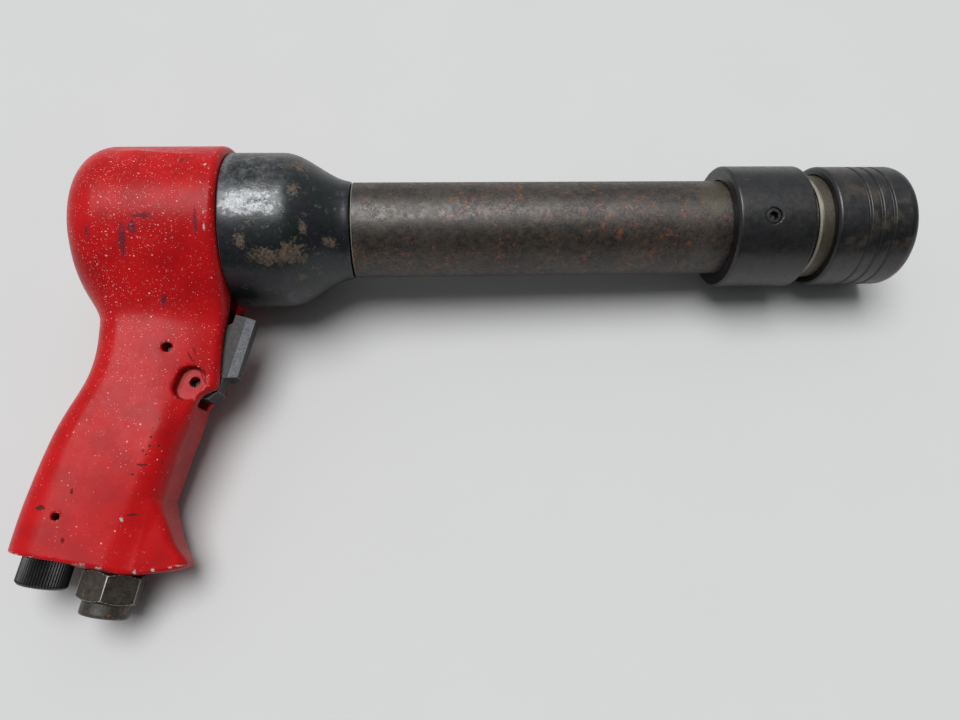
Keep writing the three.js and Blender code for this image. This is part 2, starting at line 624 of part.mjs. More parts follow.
// ---- regulator and inlet -------------------------------------------------------------------
function makeRegulator() {
  const spindleR = 3;
  const spindleEnd = 151;
  const pinGroove = [129.2, 132.6]; // the regulator pin runs in this groove and keeps the stem in
  const pinGrooveR = 4.2;
  const sealAt = 138;
  const sealGroove = [sealAt - 1.4, sealAt + 1.4];
  const sealGrooveR = 5.6;
  const stem = [
    [REGULATOR_TOP, 0], [REGULATOR_TOP, STEM_R],
    [pinGroove[0], STEM_R], [pinGroove[0], pinGrooveR], [pinGroove[1], pinGrooveR], [pinGroove[1], STEM_R],
    [sealGroove[0], STEM_R], [sealGroove[0], sealGrooveR], [sealGroove[1], sealGrooveR],
    [sealGroove[1], STEM_R], [GRIP_END - 0.2, STEM_R], [GRIP_END - 0.2, spindleR],
    [spindleEnd, spindleR], [spindleEnd, 0],
  ];
  const portAt = INLET_TOP - 2;
  const port = along(tube(-9, 9, 3, 0, 12), new THREE.Vector3(0, portAt, 0), new THREE.Vector3(1, 0, 0));
  const well = tube(REGULATOR_TOP - 1, portAt, 3, 0, 12);
  place('regulator_stem', downGrip(cut(lathe(stem, 24), port, well), REGULATOR_SIDE), brightSteel);
  place('regulator_o_ring', downGrip(sealRing(sealAt, sealGrooveR + 0.8, 0.7), REGULATOR_SIDE), sealRubber);
  const knobTop = GRIP_END + 0.4;
  const knobEnd = 155.5;
  const socketR = spindleR + GAP;
  const knob = [
    [spindleEnd + GAP, 0], [spindleEnd + GAP, socketR], [knobTop, socketR], [knobTop, KNOB_R - 0.6],
    [knobTop + 0.6, KNOB_R], [knobEnd - 0.8, KNOB_R], [knobEnd, KNOB_R - 0.8], [knobEnd, 0],
  ];
  place('regulator_knob', downGrip(lathe(knob, 32), REGULATOR_SIDE), blackOxide);
  const pin = gripPoint(...REGULATOR_PIN);
  place('regulator_pin', acrossTool(tube(-7.5, 15, REGULATOR_PIN_R, 0, 8), pin.x, pin.y), agedSteel);
}

function makeInlet() {
  const hexTop = GRIP_END + 1.2;
  const hexEnd = hexTop + 10;
  const end = hexEnd + 5;
  const hexTurn = THREE.MathUtils.degToRad(20);
  const screenSeat = 132; // the bore is wider from here up, and the screen lies in the wide part
  const screenR = 6.1;
  const hex = hexPrism(hexTop, hexEnd, HEX_FLATS).rotateY(hexTurn);
  const shank = tube(INLET_TOP, hexTop + 1, INLET_SHANK_R, 0, 24);
  const nose = tube(hexEnd - 1, end, INLET_NOSE_R, 0, 24);
  const bore = tube(screenSeat, end + 1, INLET_BORE_R, 0, 24);
  const counterbore = tube(INLET_TOP - 1, screenSeat + 1, screenR + GAP, 0, 24);
  const bushing = cut(join(shank, hex, nose), bore, counterbore);
  place('inlet_bushing', downGrip(bushing, INLET_SIDE), agedSteel);
  const screenTop = INLET_TOP + 2;
  const holes = [];
  for (let i = 0; i < 6; i++) {
    const angle = (Math.PI / 3) * i;
    const hole = tube(screenTop - 2, screenTop + 4, 0.9, 0, 8);
    holes.push(hole.translate(3.4 * Math.cos(angle), 0, 3.4 * Math.sin(angle)));
  }
  const screen = cut(tube(screenTop, screenTop + 1, screenR, 0, 24), ...holes);
  place('inlet_screen', downGrip(screen, INLET_SIDE), brightSteel);
}

makeHandle();
makeBell();
makeValve();
makeBarrel();
makeShankBushing();
makeCollar();
makeRetainer();
makeSleeve();
makeTrigger();
makeThrottle();
makeRegulator();
makeInlet();

// ---- the tool's own frame ------------------------------------------------------------------
const box = new THREE.Box3().setFromObject(tool, true);
const centre = box.getCenter(new THREE.Vector3());
tool.position.set(-centre.x, -centre.y, -box.min.z);
const rivetHammer = new THREE.Group();
rivetHammer.add(tool);

export default rivetHammer;
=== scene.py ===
"""Looks of a pneumatic rivet hammer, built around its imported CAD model.

Lengths here are millimetres in the tool's own frame: +X along the barrel to the muzzle, +Y from
the grip up to the barrel, +Z out of the side that is turned up, and zero on the barrel's axis where
the bell meets the barrel. skin() and from_shape() turn them into the model's metres.
"""
import json
import math

import bmesh
import bpy
import numpy as np
from mathutils import Matrix, Vector


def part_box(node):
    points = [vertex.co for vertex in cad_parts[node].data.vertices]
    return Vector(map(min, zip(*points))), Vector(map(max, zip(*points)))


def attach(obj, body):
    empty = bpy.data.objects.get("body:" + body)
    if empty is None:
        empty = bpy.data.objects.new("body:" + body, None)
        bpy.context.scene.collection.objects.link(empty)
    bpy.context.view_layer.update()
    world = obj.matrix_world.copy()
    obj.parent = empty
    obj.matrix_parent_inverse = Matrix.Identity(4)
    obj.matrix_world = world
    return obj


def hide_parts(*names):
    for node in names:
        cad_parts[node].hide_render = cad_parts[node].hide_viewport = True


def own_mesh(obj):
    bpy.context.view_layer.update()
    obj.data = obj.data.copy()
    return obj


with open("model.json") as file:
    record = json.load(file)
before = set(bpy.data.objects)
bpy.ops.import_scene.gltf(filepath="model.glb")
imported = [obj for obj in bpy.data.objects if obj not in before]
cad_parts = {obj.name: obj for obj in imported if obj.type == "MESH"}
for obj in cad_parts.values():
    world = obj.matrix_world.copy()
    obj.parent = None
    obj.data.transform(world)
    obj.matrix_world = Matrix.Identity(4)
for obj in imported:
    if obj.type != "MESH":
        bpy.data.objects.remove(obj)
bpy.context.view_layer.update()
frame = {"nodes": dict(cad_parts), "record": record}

MM = 0.001
BARREL_LOW, BARREL_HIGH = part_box("barrel")
ORIGIN = np.array([
    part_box("bell_housing")[1].x,
    (BARREL_LOW.y + BARREL_HIGH.y) / 2,
    (BARREL_LOW.z + BARREL_HIGH.z) / 2,
])

# ---- driving dimensions: _R is a radius, _HALF a half width, _ROUND an edge's rounding ----
GAP = 0.3
HEAD_R = 33.2
HEAD_FRONT_R = 33.5
HEAD_REAR = -102.9
HEAD_FRONT = -46.7
HEAD_REAR_ROUND = 14
HEAD_FRONT_ROUND = 2.6
HEAD_FILLET = 10
HEAD_FILLET_MORE = 4
BORE_R = 27.3
BORE_END = -80
CHAMBER_R = 20
CHAMBER_END = -90
BELL_R = 31
SHOULDER = 26
BARREL_R = 19.5
SEAM = 0.7
COLLAR_R = 25.45
COLLAR_REAR = 153.9
COLLAR_FRONT = 186.1
NECK_R = 21.6
NECK_REAR = 158.3
NECK_STEP = 189.4
NECK_FRONT = 196
SLEEVE_R = 25.15
SLEEVE_REAR = 195.3
SLEEVE_FRONT = 230.2
SLEEVE_GROOVES = (208.3, 213.3, 218.4)
SET_SCREW_X = 167.9
SET_SCREW_ANGLES = (-16, 104, 224)
SET_SCREW_R = 3
GRIP_TILT = math.radians(12.3)
GRIP_END = 145
GRIP_HALF = 17
GRIP_REAR_ROUND = 11
GRIP_FRONT_ROUND = 9.5
GRIP_CROWN = 8
CROWN_START = -72
UPPER_FRONT_ROUND = 2.5
UPPER_END = 80
LOWER_START = 97
LOWER_HALF = 17.2
LOWER_MIDDLE = -74
TAPER_TOP = 0.04
TAPER_FOOT = 0.15
FOOT_ROUND = 0.9
TOE_HALF = 11
TOE_START = -43
TOE_REAR = -62
TOE_SLANT = 0.36
TOE_ROUND = 2.4
TOE_FILLET = 3.2
INLET_SIDE = -52.1
REGULATOR_SIDE = -76.2
THROTTLE_DOWN = 57
THROTTLE_FACE = -49.5
SLOT_HALF = 5.3
PIVOT = (-56.7, -65.4)
PIVOT_HOLE_R = 1.9
CROSS_PIN = (66, -53)
CROSS_HOLE_R = 1.8
REGULATOR_PIN = (130.9, -70.6)
REGULATOR_HOLE_R = 1.3
POCKET_R = 5
POCKET_FLOOR = 9.2
POCKET_REACH = 3.6
POCKET_SHIFT = 0.5
POCKET_WAY = (0.45, 0.9)
POCKET_WIDENING = 0.12
INLET_BORE_R = 8.3
REGULATOR_BORE_R = 7.3
THROTTLE_BORE_R = 9.0
HANDLE_LOW = (-118, -146, -35.4)
HANDLE_HIGH = (-44.5, 35.6, 35.4)
HANDLE_GRID = 0.6
SEGMENTS = 192
KNOB_R = 8.4
HEX_FLATS = 19.05
HEX_TURN = math.radians(-20)
OVERHEAD_SIDE = (-0.15, 0.34, 1.05)
OVERHEAD_SPREAD = math.radians(42)
OVERHEAD_POWER = 3.0
SKY_BRIGHT_SIDE = (-0.35, 0.78, 0.52)
SKY_DIM = 0.06
SKY_BRIGHT = 0.42
FLOOR_SHADE = 0.55
FLOOR_REACH = 9000
FLOOR_GAP = 0.3
FOOT_TOP = -60
CAMERA_LENS = 25.5
CAMERA_PLACE = (30.0, -129.2, 260.3)
CAMERA_TURNS = (-0.2731, 0.0656, 0.0423)

SIN, COS = math.sin(GRIP_TILT), math.cos(GRIP_TILT)
DOWN = np.array([-SIN, -COS, 0.0])
SIDE = np.array([COS, -SIN, 0.0])
OUT = np.array([0.0, 0.0, 1.0])
ALONG_BARREL = np.array([1.0, 0.0, 0.0])


def grip_point(along, across, z=0.0):
    """A point in the grip: along its own axis, across it, and out to the side."""
    return DOWN * along + SIDE * across + OUT * z


# ---- node materials ----
class Paint:
    """A node material. Its methods add nodes and return the output to use next. Lengths are mm."""

    def __init__(self, name):
        self.material = bpy.data.materials.new(name)
        self.material.use_nodes = True
        self.tree = self.material.node_tree
        self.tree.nodes.clear()
        self.shader = self.node("BsdfPrincipled")
        self.node("OutputMaterial", None, self.shader.outputs[0])
        scale = self.node("Mapping", None, self.node("TexCoord").outputs["Object"])
        scale.inputs["Location"].default_value = tuple(-ORIGIN / MM)
        scale.inputs["Scale"].default_value = (1 / MM,) * 3
        self.place = scale.outputs[0]

    def node(self, kind, operation=None, *inputs):
        """Adds a node, chooses its operation and feeds its first inputs."""
        node = self.tree.nodes.new("ShaderNode" + kind)
        if operation:
            node.operation = operation
        for socket, value in zip(node.inputs, inputs):
            self.feed(socket, value)
        return node

    def feed(self, socket, value):
        if isinstance(value, bpy.types.NodeSocket):
            self.tree.links.new(value, socket)
        elif isinstance(value, tuple) and len(value) == 3 and len(socket.default_value) == 4:
            socket.default_value = (*value, 1)
        else:
            socket.default_value = value

    def set(self, **inputs):
        for name, value in inputs.items():
            self.feed(self.shader.inputs[name.replace("_", " ")], value)

    def vector(self, operation, first, second=(0, 0, 0)):
        """Vector arithmetic with a fixed second vector."""
        node = self.node("VectorMath", operation, first, tuple(second))
        return node.outputs["Value" if operation in ("DOT_PRODUCT", "LENGTH") else "Vector"]

    def cells(self, size, stretch=(1, 1, 1)):
        """The place, counted in cells of a size that stretch changes along each axis."""
        return self.vector("MULTIPLY", self.place, [1 / (size * s) for s in stretch])

    def noise(self, size, detail=4.0, rough=0.55, stretch=(1, 1, 1)):
        node = self.node("TexNoise", None, self.cells(size, stretch))
        for name, value in (("Scale", 1), ("Detail", detail), ("Roughness", rough)):
            node.inputs[name].default_value = value
        return node.outputs["Fac"]

    def dots(self, size):
        """Distance to the nearest of many scattered points, in cells, and a random colour per point."""
        node = self.node("TexVoronoi", None, self.cells(size))
        node.inputs["Scale"].default_value = 1
        return node.outputs["Distance"], node.outputs["Color"]

    def specks(self, size, rim, core, index, low, high):
        """Small round specks, at the scattered points whose random value is over low to high."""
        distance, random = self.dots(size)
        return self.times(self.band(distance, rim, core), self.band(self.channel(random, index), low, high))

    def band(self, value, low, high, start=0.0, end=1.0):
        """A smooth step from start at low to end at high."""
        node = self.node("MapRange", None, value, low, high, start, end)
        node.interpolation_type = "SMOOTHSTEP"
        return node.outputs["Result"]

    def uneven(self, size, low, high, detail=4):
        """A value that wanders between low and high."""
        return self.band(self.noise(size, detail), 0.3, 0.7, low, high)

    def math(self, operation, first, second=0.0):
        return self.node("Math", operation, first, second).outputs[0]

    def times(self, *values):
        result = values[0]
        for value in values[1:]:
            result = self.math("MULTIPLY", result, value)
        return result

    def most(self, *values):
        result = values[0]
        for value in values[1:]:
            result = self.math("MAXIMUM", result, value)
        return result

    def mix(self, share, first, second):
        node = self.node("Mix")
        node.data_type = "RGBA"
        for index, value in ((0, share), (6, first), (7, second)):
            self.feed(node.inputs[index], value)
        return node.outputs[2]

    def axis(self, name):
        return self.node("SeparateXYZ", None, self.place).outputs[name]

    def channel(self, colour, index):
        return self.node("SeparateColor", None, colour).outputs[index]

    def attribute(self, name):
        node = self.node("Attribute")
        node.attribute_name = name
        return node.outputs["Fac"]

    def rub_edges(self, colour, low, high, share, tint):
        """Turns the edges towards a tint, from the edge value low to high."""
        return self.mix(self.times(self.band(self.attribute("edge"), low, high), share), colour, tint)

    def facing(self, direction):
        """How far the surface is turned to a direction in space, from -1 to 1."""
        geometry = self.node("NewGeometry")
        return self.vector("DOT_PRODUCT", geometry.outputs["True Normal"], direction)

    def blot(self, centre, reach, ragged=0.35, soft=0.25):
        """1 within an oval blot with a ragged rim, and 0 outside it. reach is its half size."""
        offset = self.vector("SUBTRACT", self.place, centre)
        length = self.vector("LENGTH", self.vector("DIVIDE", offset, reach))
        rough = self.noise(max(0.5, min(reach) * 0.55), 5, 0.65)
        moved = self.math("ADD", length, self.band(rough, 0.2, 0.8, -ragged, ragged))
        return self.band(moved, 1.0, 1.0 - soft)

    def blots(self, marks, ragged, soft):
        return self.most(*[self.blot(place, reach, ragged, soft) for place, reach in marks])

    def stripe(self, start, end, half_width):
        """1 along a thin, uneven line between two points of the side face, and 0 beside it."""
        length = float(np.linalg.norm(end - start))
        way = (end - start) / length
        along, across = [
            self.math("SUBTRACT", self.vector("DOT_PRODUCT", self.place, direction), float(direction @ start))
            for direction in (way, np.array([-way[1], way[0], 0.0]))
        ]
        drift = self.band(self.noise(2.5, 3), 0.3, 0.7, -0.3, 0.3)
        beside = self.math("ABSOLUTE", self.math("ADD", across, drift))
        inside = self.band(beside, half_width, 0.5 * half_width)
        return self.times(inside, self.band(along, 0, 0.6), self.band(along, length + 0.3, length - 0.3))

    def bump(self, height, depth):
        node = self.node("Bump")
        node.inputs["Distance"].default_value = depth * MM
        self.feed(node.inputs["Height"], height)
        return node.outputs[0]


# Marks on the red paint, each as a place in the tool's frame and a half size.
SCUFFS = [
    ((-79, -17, 29), (2, 8, 7)),
    ((-75, -13, 30), (2.5, 3, 7)),
    ((-72, -9, 31), (5, 1.5, 7)),
    ((-67, -36, 17), (1.5, 3.5, 5)),
    ((-91, -14, 27), (1.5, 4, 8)),
    ((-53, -11, 31), (1, 7, 5)),
    ((-60, 14, 29), (1, 2.5, 5)),
]
# Painted shadow: dark blots on the far cheek and inside the trigger's slot, where the bell's shadow falls.
BELL_SHADOW_BLOTS = [
    ((-45, -37, -12), (6, 8, 9)),
    ((-50, -35, -2), (4, 4.5, 9)),
]


def foot_chip(across, half_width, half_height):
    """A chip on the near edge of the grip's foot, which runs up and inwards along the toe."""
    rise = TOE_SLANT * max(across - TOE_START, 0)
    depth = min(GRIP_HALF, TOE_HALF - 0.3 * (across + 42))
    return grip_point(GRIP_END - rise, across, depth), (half_width, half_height, 2.5)


CHIPS = [
    foot_chip(-79, 0.8, 0.6),
    foot_chip(-74, 0.9, 0.5),
    foot_chip(-59, 2.2, 0.9),
    foot_chip(-53, 1.2, 0.6),
    foot_chip(-42, 0.7, 1.1),
    foot_chip(-37, 0.6, 0.8),
    foot_chip(-32, 0.7, 0.5),
    foot_chip(-29, 2.4, 0.35),
    (grip_point(128, -50, 14), (0.6, 0.8, 2.5)),
    ((-51, 12, 30), (0.6, 0.7, 3)),
    ((-50, -8, 31), (0.5, 0.6, 3)),
    ((-50, -13, 31), (0.4, 1.6, 3)),
]
PITS = [
    (grip_point(109, -48, 15), (1.5, 0.4, 4)),
    (grip_point(126, -47, 15), (1.8, 0.5, 4)),
    (grip_point(129, -76, 17), (1.9, 0.9, 4)),
    (grip_point(122, -68, 17), (0.5, 0.9, 4)),
    (grip_point(138, -66, 17), (0.7, 0.8, 4)),
]
PITTED_STRIP = (grip_point(92, -45), grip_point(114, -49), 3)
SCRATCHES = [
    (grip_point(66, -46), grip_point(70, -42.5), 0.3),
    (grip_point(70, -42.5), grip_point(76, -37), 0.26),
    (grip_point(64, -44.5), grip_point(67, -42.5), 0.24),
]


def red_paint():
    """Satin red paint over cast metal: dense light flecks, scuffs, dark pits, chips along the edges."""
    p = Paint("red_paint")
    base = p.mix(p.band(p.noise(14, 3), 0.35, 0.7), (0.47, 0.007, 0.009), (0.36, 0.005, 0.0065))
    base = p.mix(p.times(p.band(p.noise(1.1, 2), 0.45, 0.75), 0.25), base, (0.30, 0.006, 0.006))
    # light flecks: thick on the head and the back, thin low down and towards the front
    dense = p.band(p.axis("Y"), -110, -25, 0.28, 1)
    back = p.band(p.axis("X"), -48, -84, 0.6, 1)
    cloud = p.band(p.noise(9, 3), 0.35, 0.62, 0.45, 1)
    amount = p.times(dense, back, cloud)
    flecks = None
    for size, radius in ((0.75, 0.17), (0.62, 0.16), (1.1, 0.15), (2, 0.12)):
        distance, colour = p.dots(size)
        chosen = p.band(p.math("SUBTRACT", amount, p.channel(colour, 0)), 0, 0.3)
        width = p.math("MULTIPLY", p.channel(colour, 1), radius)
        dot = p.band(p.math("SUBTRACT", distance, width), 0.08, -0.03)
        dot = p.times(dot, chosen)
        flecks = dot if flecks is None else p.most(flecks, dot)
    colour = p.mix(p.times(flecks, 0.75), base, (0.82, 0.58, 0.52))
    # painted shade in the hollows, and faint brown wear
    hollow = p.times(p.band(p.attribute("hollow"), 0.15, 0.9), 0.5)
    colour = p.mix(hollow, colour, (0.06, 0.01, 0.008))
    smudge = p.times(p.band(p.noise(5.5, 5, 0.7), 0.60, 0.78), 0.45)
    colour = p.mix(smudge, colour, (0.13, 0.012, 0.014))
    # painted shadow on the far cheek inside the trigger's slot, under the bell
    colour = p.mix(p.times(p.blots(BELL_SHADOW_BLOTS, 0.3, 0.5), 0.93), colour, (0.010, 0.004, 0.004))
    # scuffs
    scuffs = p.times(p.blots(SCUFFS, 0.55, 0.7), p.band(p.noise(1.2, 4, 0.7), 0.28, 0.55, 0.3, 1))
    colour = p.mix(p.times(scuffs, 0.8), colour, (0.026, 0.014, 0.028))
    # pits and scratches on the side that is turned up
    upside = p.band(p.axis("Z"), 4, 6)
    scratch = p.most(*[p.stripe(*ends) for ends in SCRATCHES])
    scratch = p.times(scratch, p.band(p.noise(1.4, 3), 0.34, 0.46, 0.3, 1), upside)
    strip = p.times(p.stripe(*PITTED_STRIP), upside, p.specks(1.6, 0.36, 0.22, 1, 0.5, 0.6))
    pits = p.most(p.specks(6.5, 0.075, 0.035, 2, 0.80, 0.84), scratch, strip, p.blots(PITS, 0.7, 0.4))
    colour = p.mix(p.times(pits, 0.9), colour, (0.035, 0.012, 0.012))
    # chips down to primer and bare metal
    edge = p.band(p.attribute("edge"), 0.45, 0.95)
    patches = p.noise(3.6, 5, 0.7)
    chips = p.most(p.times(edge, p.band(patches, 0.57, 0.63)), p.blots(CHIPS, 0.8, 0.3))
    rim = p.math("SUBTRACT", p.most(p.times(edge, p.band(patches, 0.53, 0.59)), chips), chips)
    colour = p.mix(p.times(rim, 0.8), colour, (0.06, 0.012, 0.01))
    metal = p.mix(p.noise(0.8, 3), (0.24, 0.20, 0.18), (0.62, 0.57, 0.52))
    colour = p.mix(chips, colour, metal)
    height = p.math("ADD", p.times(p.noise(1.5, 3), 0.35), p.times(p.noise(0.5, 2), 0.12))
    height = p.math("ADD", height, p.times(flecks, 0.35))
    height = p.math("SUBTRACT", height, p.most(p.times(chips, 1.2), p.times(pits, 1.5)))
    rough = p.math("ADD", p.uneven(4, 0.27, 0.36), p.times(p.most(scuffs, chips, pits), 0.25))
    p.set(Base_Color=colour, Roughness=rough, Normal=p.bump(height, 0.05), Specular_IOR_Level=0.13)
    return p.material


def blued_steel():
    """Blued steel, dark and smooth, with a polished grey patch, flaked areas and tan rust."""
    p = Paint("blued_steel")
    base = p.mix(p.band(p.noise(9, 4), 0.35, 0.65), (0.008, 0.015, 0.014), (0.016, 0.016, 0.022))
    base = p.mix(p.times(p.band(p.noise(1.6, 4, 0.7), 0.5, 0.8), 0.5), base, (0.05, 0.06, 0.056))
    flake = p.band(p.noise(5.2, 6, 0.66), 0.56, 0.60)
    flake = p.times(flake, p.band(p.noise(17, 2), 0.42, 0.55))
    flaked = p.mix(p.noise(1, 3), (0.04, 0.034, 0.026), (0.095, 0.082, 0.065))
    colour = p.mix(p.times(flake, 0.75), base, flaked)
    upper = p.times(p.band(p.axis("X"), -14, -34), p.band(p.axis("Y"), -6, 8))
    thin = p.times(p.band(p.noise(3.2, 6, 0.8), 0.42, 0.62), upper, 0.6)
    patches = (
        ((-40, -4, 31), (5.5, 5, 9), 0.6, 0.5),
        ((-31.5, -5.5, 31), (8.5, 3, 9), 0.7, 0.5),
        ((-34, 0, 31), (10, 3.2, 9), 0.8, 0.8),
        ((-45, 16, 27), (1.8, 9, 9), 0.6, 0.6),
    )
    worn = p.most(thin, *[p.blot(*patch) for patch in patches])
    worn = p.times(worn, p.band(p.noise(1.5, 5, 0.75), 0.34, 0.56, 0.45, 1))
    bare = p.mix(p.band(p.noise(0.9, 4, 0.7), 0.3, 0.7), (0.09, 0.094, 0.10), (0.225, 0.23, 0.24))
    colour = p.mix(worn, colour, bare)
    patches = (
        ((-20, -19.5, 22), (5, 4, 8), 0.75, 0.4),
        ((-29.5, -21.5, 22), (6, 2.6, 8), 0.8, 0.4),
        ((-16, -11, 24), (1.6, 2.6, 8), 0.6, 0.4),
        ((-19, 3, 27), (2.2, 3.4, 8), 0.7, 0.5),
        ((-18.5, 15.5, 24), (3.6, 3.4, 8), 0.8, 0.5),
        ((-38.5, -16.5, 25), (2.2, 2.6, 8), 0.7, 0.5),
        ((-7, -13.5, 18), (3, 1.6, 8), 0.8, 0.5),
    )
    scattered = p.times(p.band(p.noise(3.4, 5, 0.7), 0.63, 0.68), 0.9)
    rust_spots = p.most(scattered, *[p.blot(*patch) for patch in patches])
    rust = p.mix(p.band(p.noise(1.3, 4, 0.7), 0.35, 0.65), (0.055, 0.048, 0.028), (0.17, 0.115, 0.08))
    rust_spots = p.times(rust_spots, p.band(p.noise(0.9, 4, 0.7), 0.3, 0.5, 0.35, 0.95))
    colour = p.mix(rust_spots, colour, rust)
    colour = p.mix(p.times(p.specks(1.7, 0.15, 0.06, 0, 0.70, 0.74), 0.5), colour, (0.2, 0.21, 0.2))
    colour = p.rub_edges(colour, 0.4, 0.9, 0.5, (0.3, 0.3, 0.29))
    rough = p.math("ADD", p.uneven(3, 0.27, 0.38), p.times(rust_spots, 0.3))
    height = p.math("ADD", p.times(p.noise(0.6, 4, 0.7), 0.4), p.times(p.most(rust_spots, flake), 0.8))
    normal = p.bump(height, 0.06)
    p.set(Base_Color=colour, Roughness=rough, Normal=normal, Metallic=0.4, Specular_IOR_Level=0.8)
    return p.material


def aged_steel():
    """Brown-black steel, finely pitted, with orange rust in patches."""
    p = Paint("aged_steel")
    base = p.mix(p.band(p.noise(3.2, 5, 0.7), 0.38, 0.66), (0.011, 0.009, 0.008), (0.050, 0.038, 0.028))
    base = p.mix(p.band(p.noise(17, 3), 0.42, 0.66, 0, 0.45), base, (0.075, 0.06, 0.048))
    fine = p.band(p.noise(0.55, 3, 0.7), 0.42, 0.68)
    base = p.mix(p.times(fine, 0.5), base, (0.075, 0.06, 0.046))
    speckled = p.band(p.noise(14, 2), 0.42, 0.58, 0.45, 1)
    dark = p.times(p.band(p.noise(1.15, 5, 0.78), 0.51, 0.57), speckled, 0.85)
    base = p.mix(dark, base, (0.009, 0.008, 0.008))
    patch = p.band(p.noise(13, 3), 0.46, 0.60)
    spots = p.band(p.noise(3, 6, 0.72), 0.52, 0.62)
    rust = p.math("ADD", p.times(patch, spots), p.times(p.band(p.noise(4.4, 6, 0.7), 0.62, 0.68), 0.9))
    tint = p.mix(p.band(p.noise(1.1, 3), 0.35, 0.65), (0.08, 0.026, 0.012), (0.27, 0.085, 0.028))
    colour = p.mix(p.times(p.math("MINIMUM", rust, 1), 0.72), base, tint)
    # olive patch behind the collar, and the neck in front of its groove
    patch = p.blot((147.5, 7, 18), (6, 11, 12), 0.3, 0.12)
    olive = p.most(patch, p.band(p.axis("X"), 187, 189))
    worn = p.mix(p.noise(0.9, 4, 0.7), (0.03, 0.026, 0.014), (0.085, 0.072, 0.042))
    colour = p.mix(p.times(olive, 0.85), colour, worn)
    # painted shade: the groove in front of the collar turns near black
    groove = p.times(
        p.band(p.axis("X"), 176.5, 177),
        p.band(p.axis("X"), NECK_STEP + 0.2, NECK_STEP - 0.1),
    )
    colour = p.mix(groove, colour, (0.006, 0.006, 0.005))
    ring = p.times(
        p.band(p.axis("X"), NECK_STEP, NECK_STEP + 0.3),
        p.band(p.axis("X"), NECK_STEP + 1.1, NECK_STEP + 0.7),
    )
    colour = p.mix(p.times(ring, 0.8), colour, (0.34, 0.32, 0.25))
    colour = p.mix(p.times(p.specks(2.1, 0.13, 0.05, 0, 0.80, 0.84), 0.6), colour, (0.27, 0.21, 0.17))
    colour = p.rub_edges(colour, 0.3, 0.8, 0.8, (0.46, 0.44, 0.36))
    height = p.math("SUBTRACT", p.times(p.noise(0.6, 4, 0.75), 0.7), p.times(dark, 0.35))
    rough, normal = p.uneven(2, 0.34, 0.52), p.bump(height, 0.06)
    p.set(Base_Color=colour, Roughness=rough, Normal=normal, Metallic=0.3, Specular_IOR_Level=0.8)
    return p.material


def black_oxide():
    """Satin black oxide with faint turning marks, rubbed thin and brown in places."""
    p = Paint("black_oxide")
    base = p.mix(p.band(p.noise(6, 4), 0.35, 0.65), (0.005, 0.0055, 0.006), (0.011, 0.011, 0.0125))
    mottle = p.times(p.band(p.noise(0.9, 4, 0.7), 0.45, 0.72), 0.45)
    base = p.mix(mottle, base, (0.026, 0.025, 0.027))
    # brown rubbed areas: rare on the collar, common on the sleeve in front of it
    front = p.band(p.axis("X"), 194, 204)
    rubbed = p.times(p.band(p.noise(6.5, 5, 0.7), 0.46, 0.64), p.band(front, 0, 1, 0.12, 0.9))
    brown = p.mix(p.noise(1.2, 4, 0.7), (0.018, 0.014, 0.010), (0.055, 0.042, 0.030))
    colour = p.mix(rubbed, base, brown)
    # painted shade: the sleeve's grooves, the screw sockets and other hollows turn near black
    hollow = p.band(p.attribute("hollow"), 0.1, 0.5)
    colour = p.mix(hollow, colour, (0.003, 0.003, 0.003))
    scratch = p.blot((159.5, 9.5, 23), (2, 0.6, 5), 0.6, 0.5)
    colour = p.mix(p.times(scratch, 0.8), colour, (0.06, 0.03, 0.02))
    edge = p.band(p.attribute("edge"), 0.35, 0.9)
    worn = p.times(edge, p.band(p.noise(3, 4, 0.7), 0.3, 0.6, 0.35, 1))
    colour = p.mix(p.times(worn, 0.75), colour, (0.42, 0.42, 0.43))
    rough = p.math("ADD", p.uneven(2.5, 0.29, 0.40), p.times(rubbed, 0.1))
    turned = p.noise(0.5, 2, 0.5, stretch=(0.5, 30, 30))
    height = p.math("ADD", p.times(turned, 0.5), p.times(p.noise(0.5, 3, 0.7), 0.4))
    normal = p.bump(height, 0.035)
    p.set(Base_Color=colour, Roughness=rough, Normal=normal, Metallic=0.15, Specular_IOR_Level=0.75)
    return p.material


def plain_metal(name, light, dark, roughness, grain=0.8):
    """A metal with fine colour variation, brighter on its edges."""
    p = Paint(name)
    colour = p.mix(p.band(p.noise(grain * 3, 5, 0.7), 0.35, 0.68), dark, light)
    colour = p.rub_edges(colour, 0.3, 0.9, 0.6, tuple(0.2 + 0.8 * c for c in light))
    rough = p.uneven(grain * 2, roughness - 0.06, roughness + 0.08)
    p.set(Base_Color=colour, Roughness=rough, Normal=p.bump(p.noise(grain, 4, 0.7), 0.04), Metallic=0.9)
    return p.material


def grey_steel():
    """Dark cast steel, dull on its flat sides, with a light grey painted highlight on the sloped bevel faces.
    """
    p = Paint("grey_steel")
    colour = p.mix(p.band(p.noise(1.6, 5, 0.75), 0.36, 0.66), (0.004, 0.004, 0.004), (0.020, 0.017, 0.016))
    # painted highlight: faces that slope between the flat sides and the front (the lit bevels) turn light
    # grey
    upright = p.math("ABSOLUTE", p.facing(OUT))
    bevel_highlight = p.times(p.band(upright, 0.3, 0.5), p.math("SUBTRACT", 1, p.band(upright, 0.86, 0.95)))
    rubbed = p.mix(p.band(p.noise(0.8, 4, 0.7), 0.3, 0.7), (0.13, 0.135, 0.145), (0.28, 0.285, 0.31))
    colour = p.rub_edges(p.mix(bevel_highlight, colour, rubbed), 0.4, 0.95, 0.55, (0.26, 0.26, 0.27))
    rough, normal = p.uneven(1.6, 0.38, 0.52), p.bump(p.noise(0.6, 4, 0.7), 0.05)
    p.set(Base_Color=colour, Roughness=rough, Normal=normal, Metallic=0.2, Specular_IOR_Level=0.3)
    return p.material


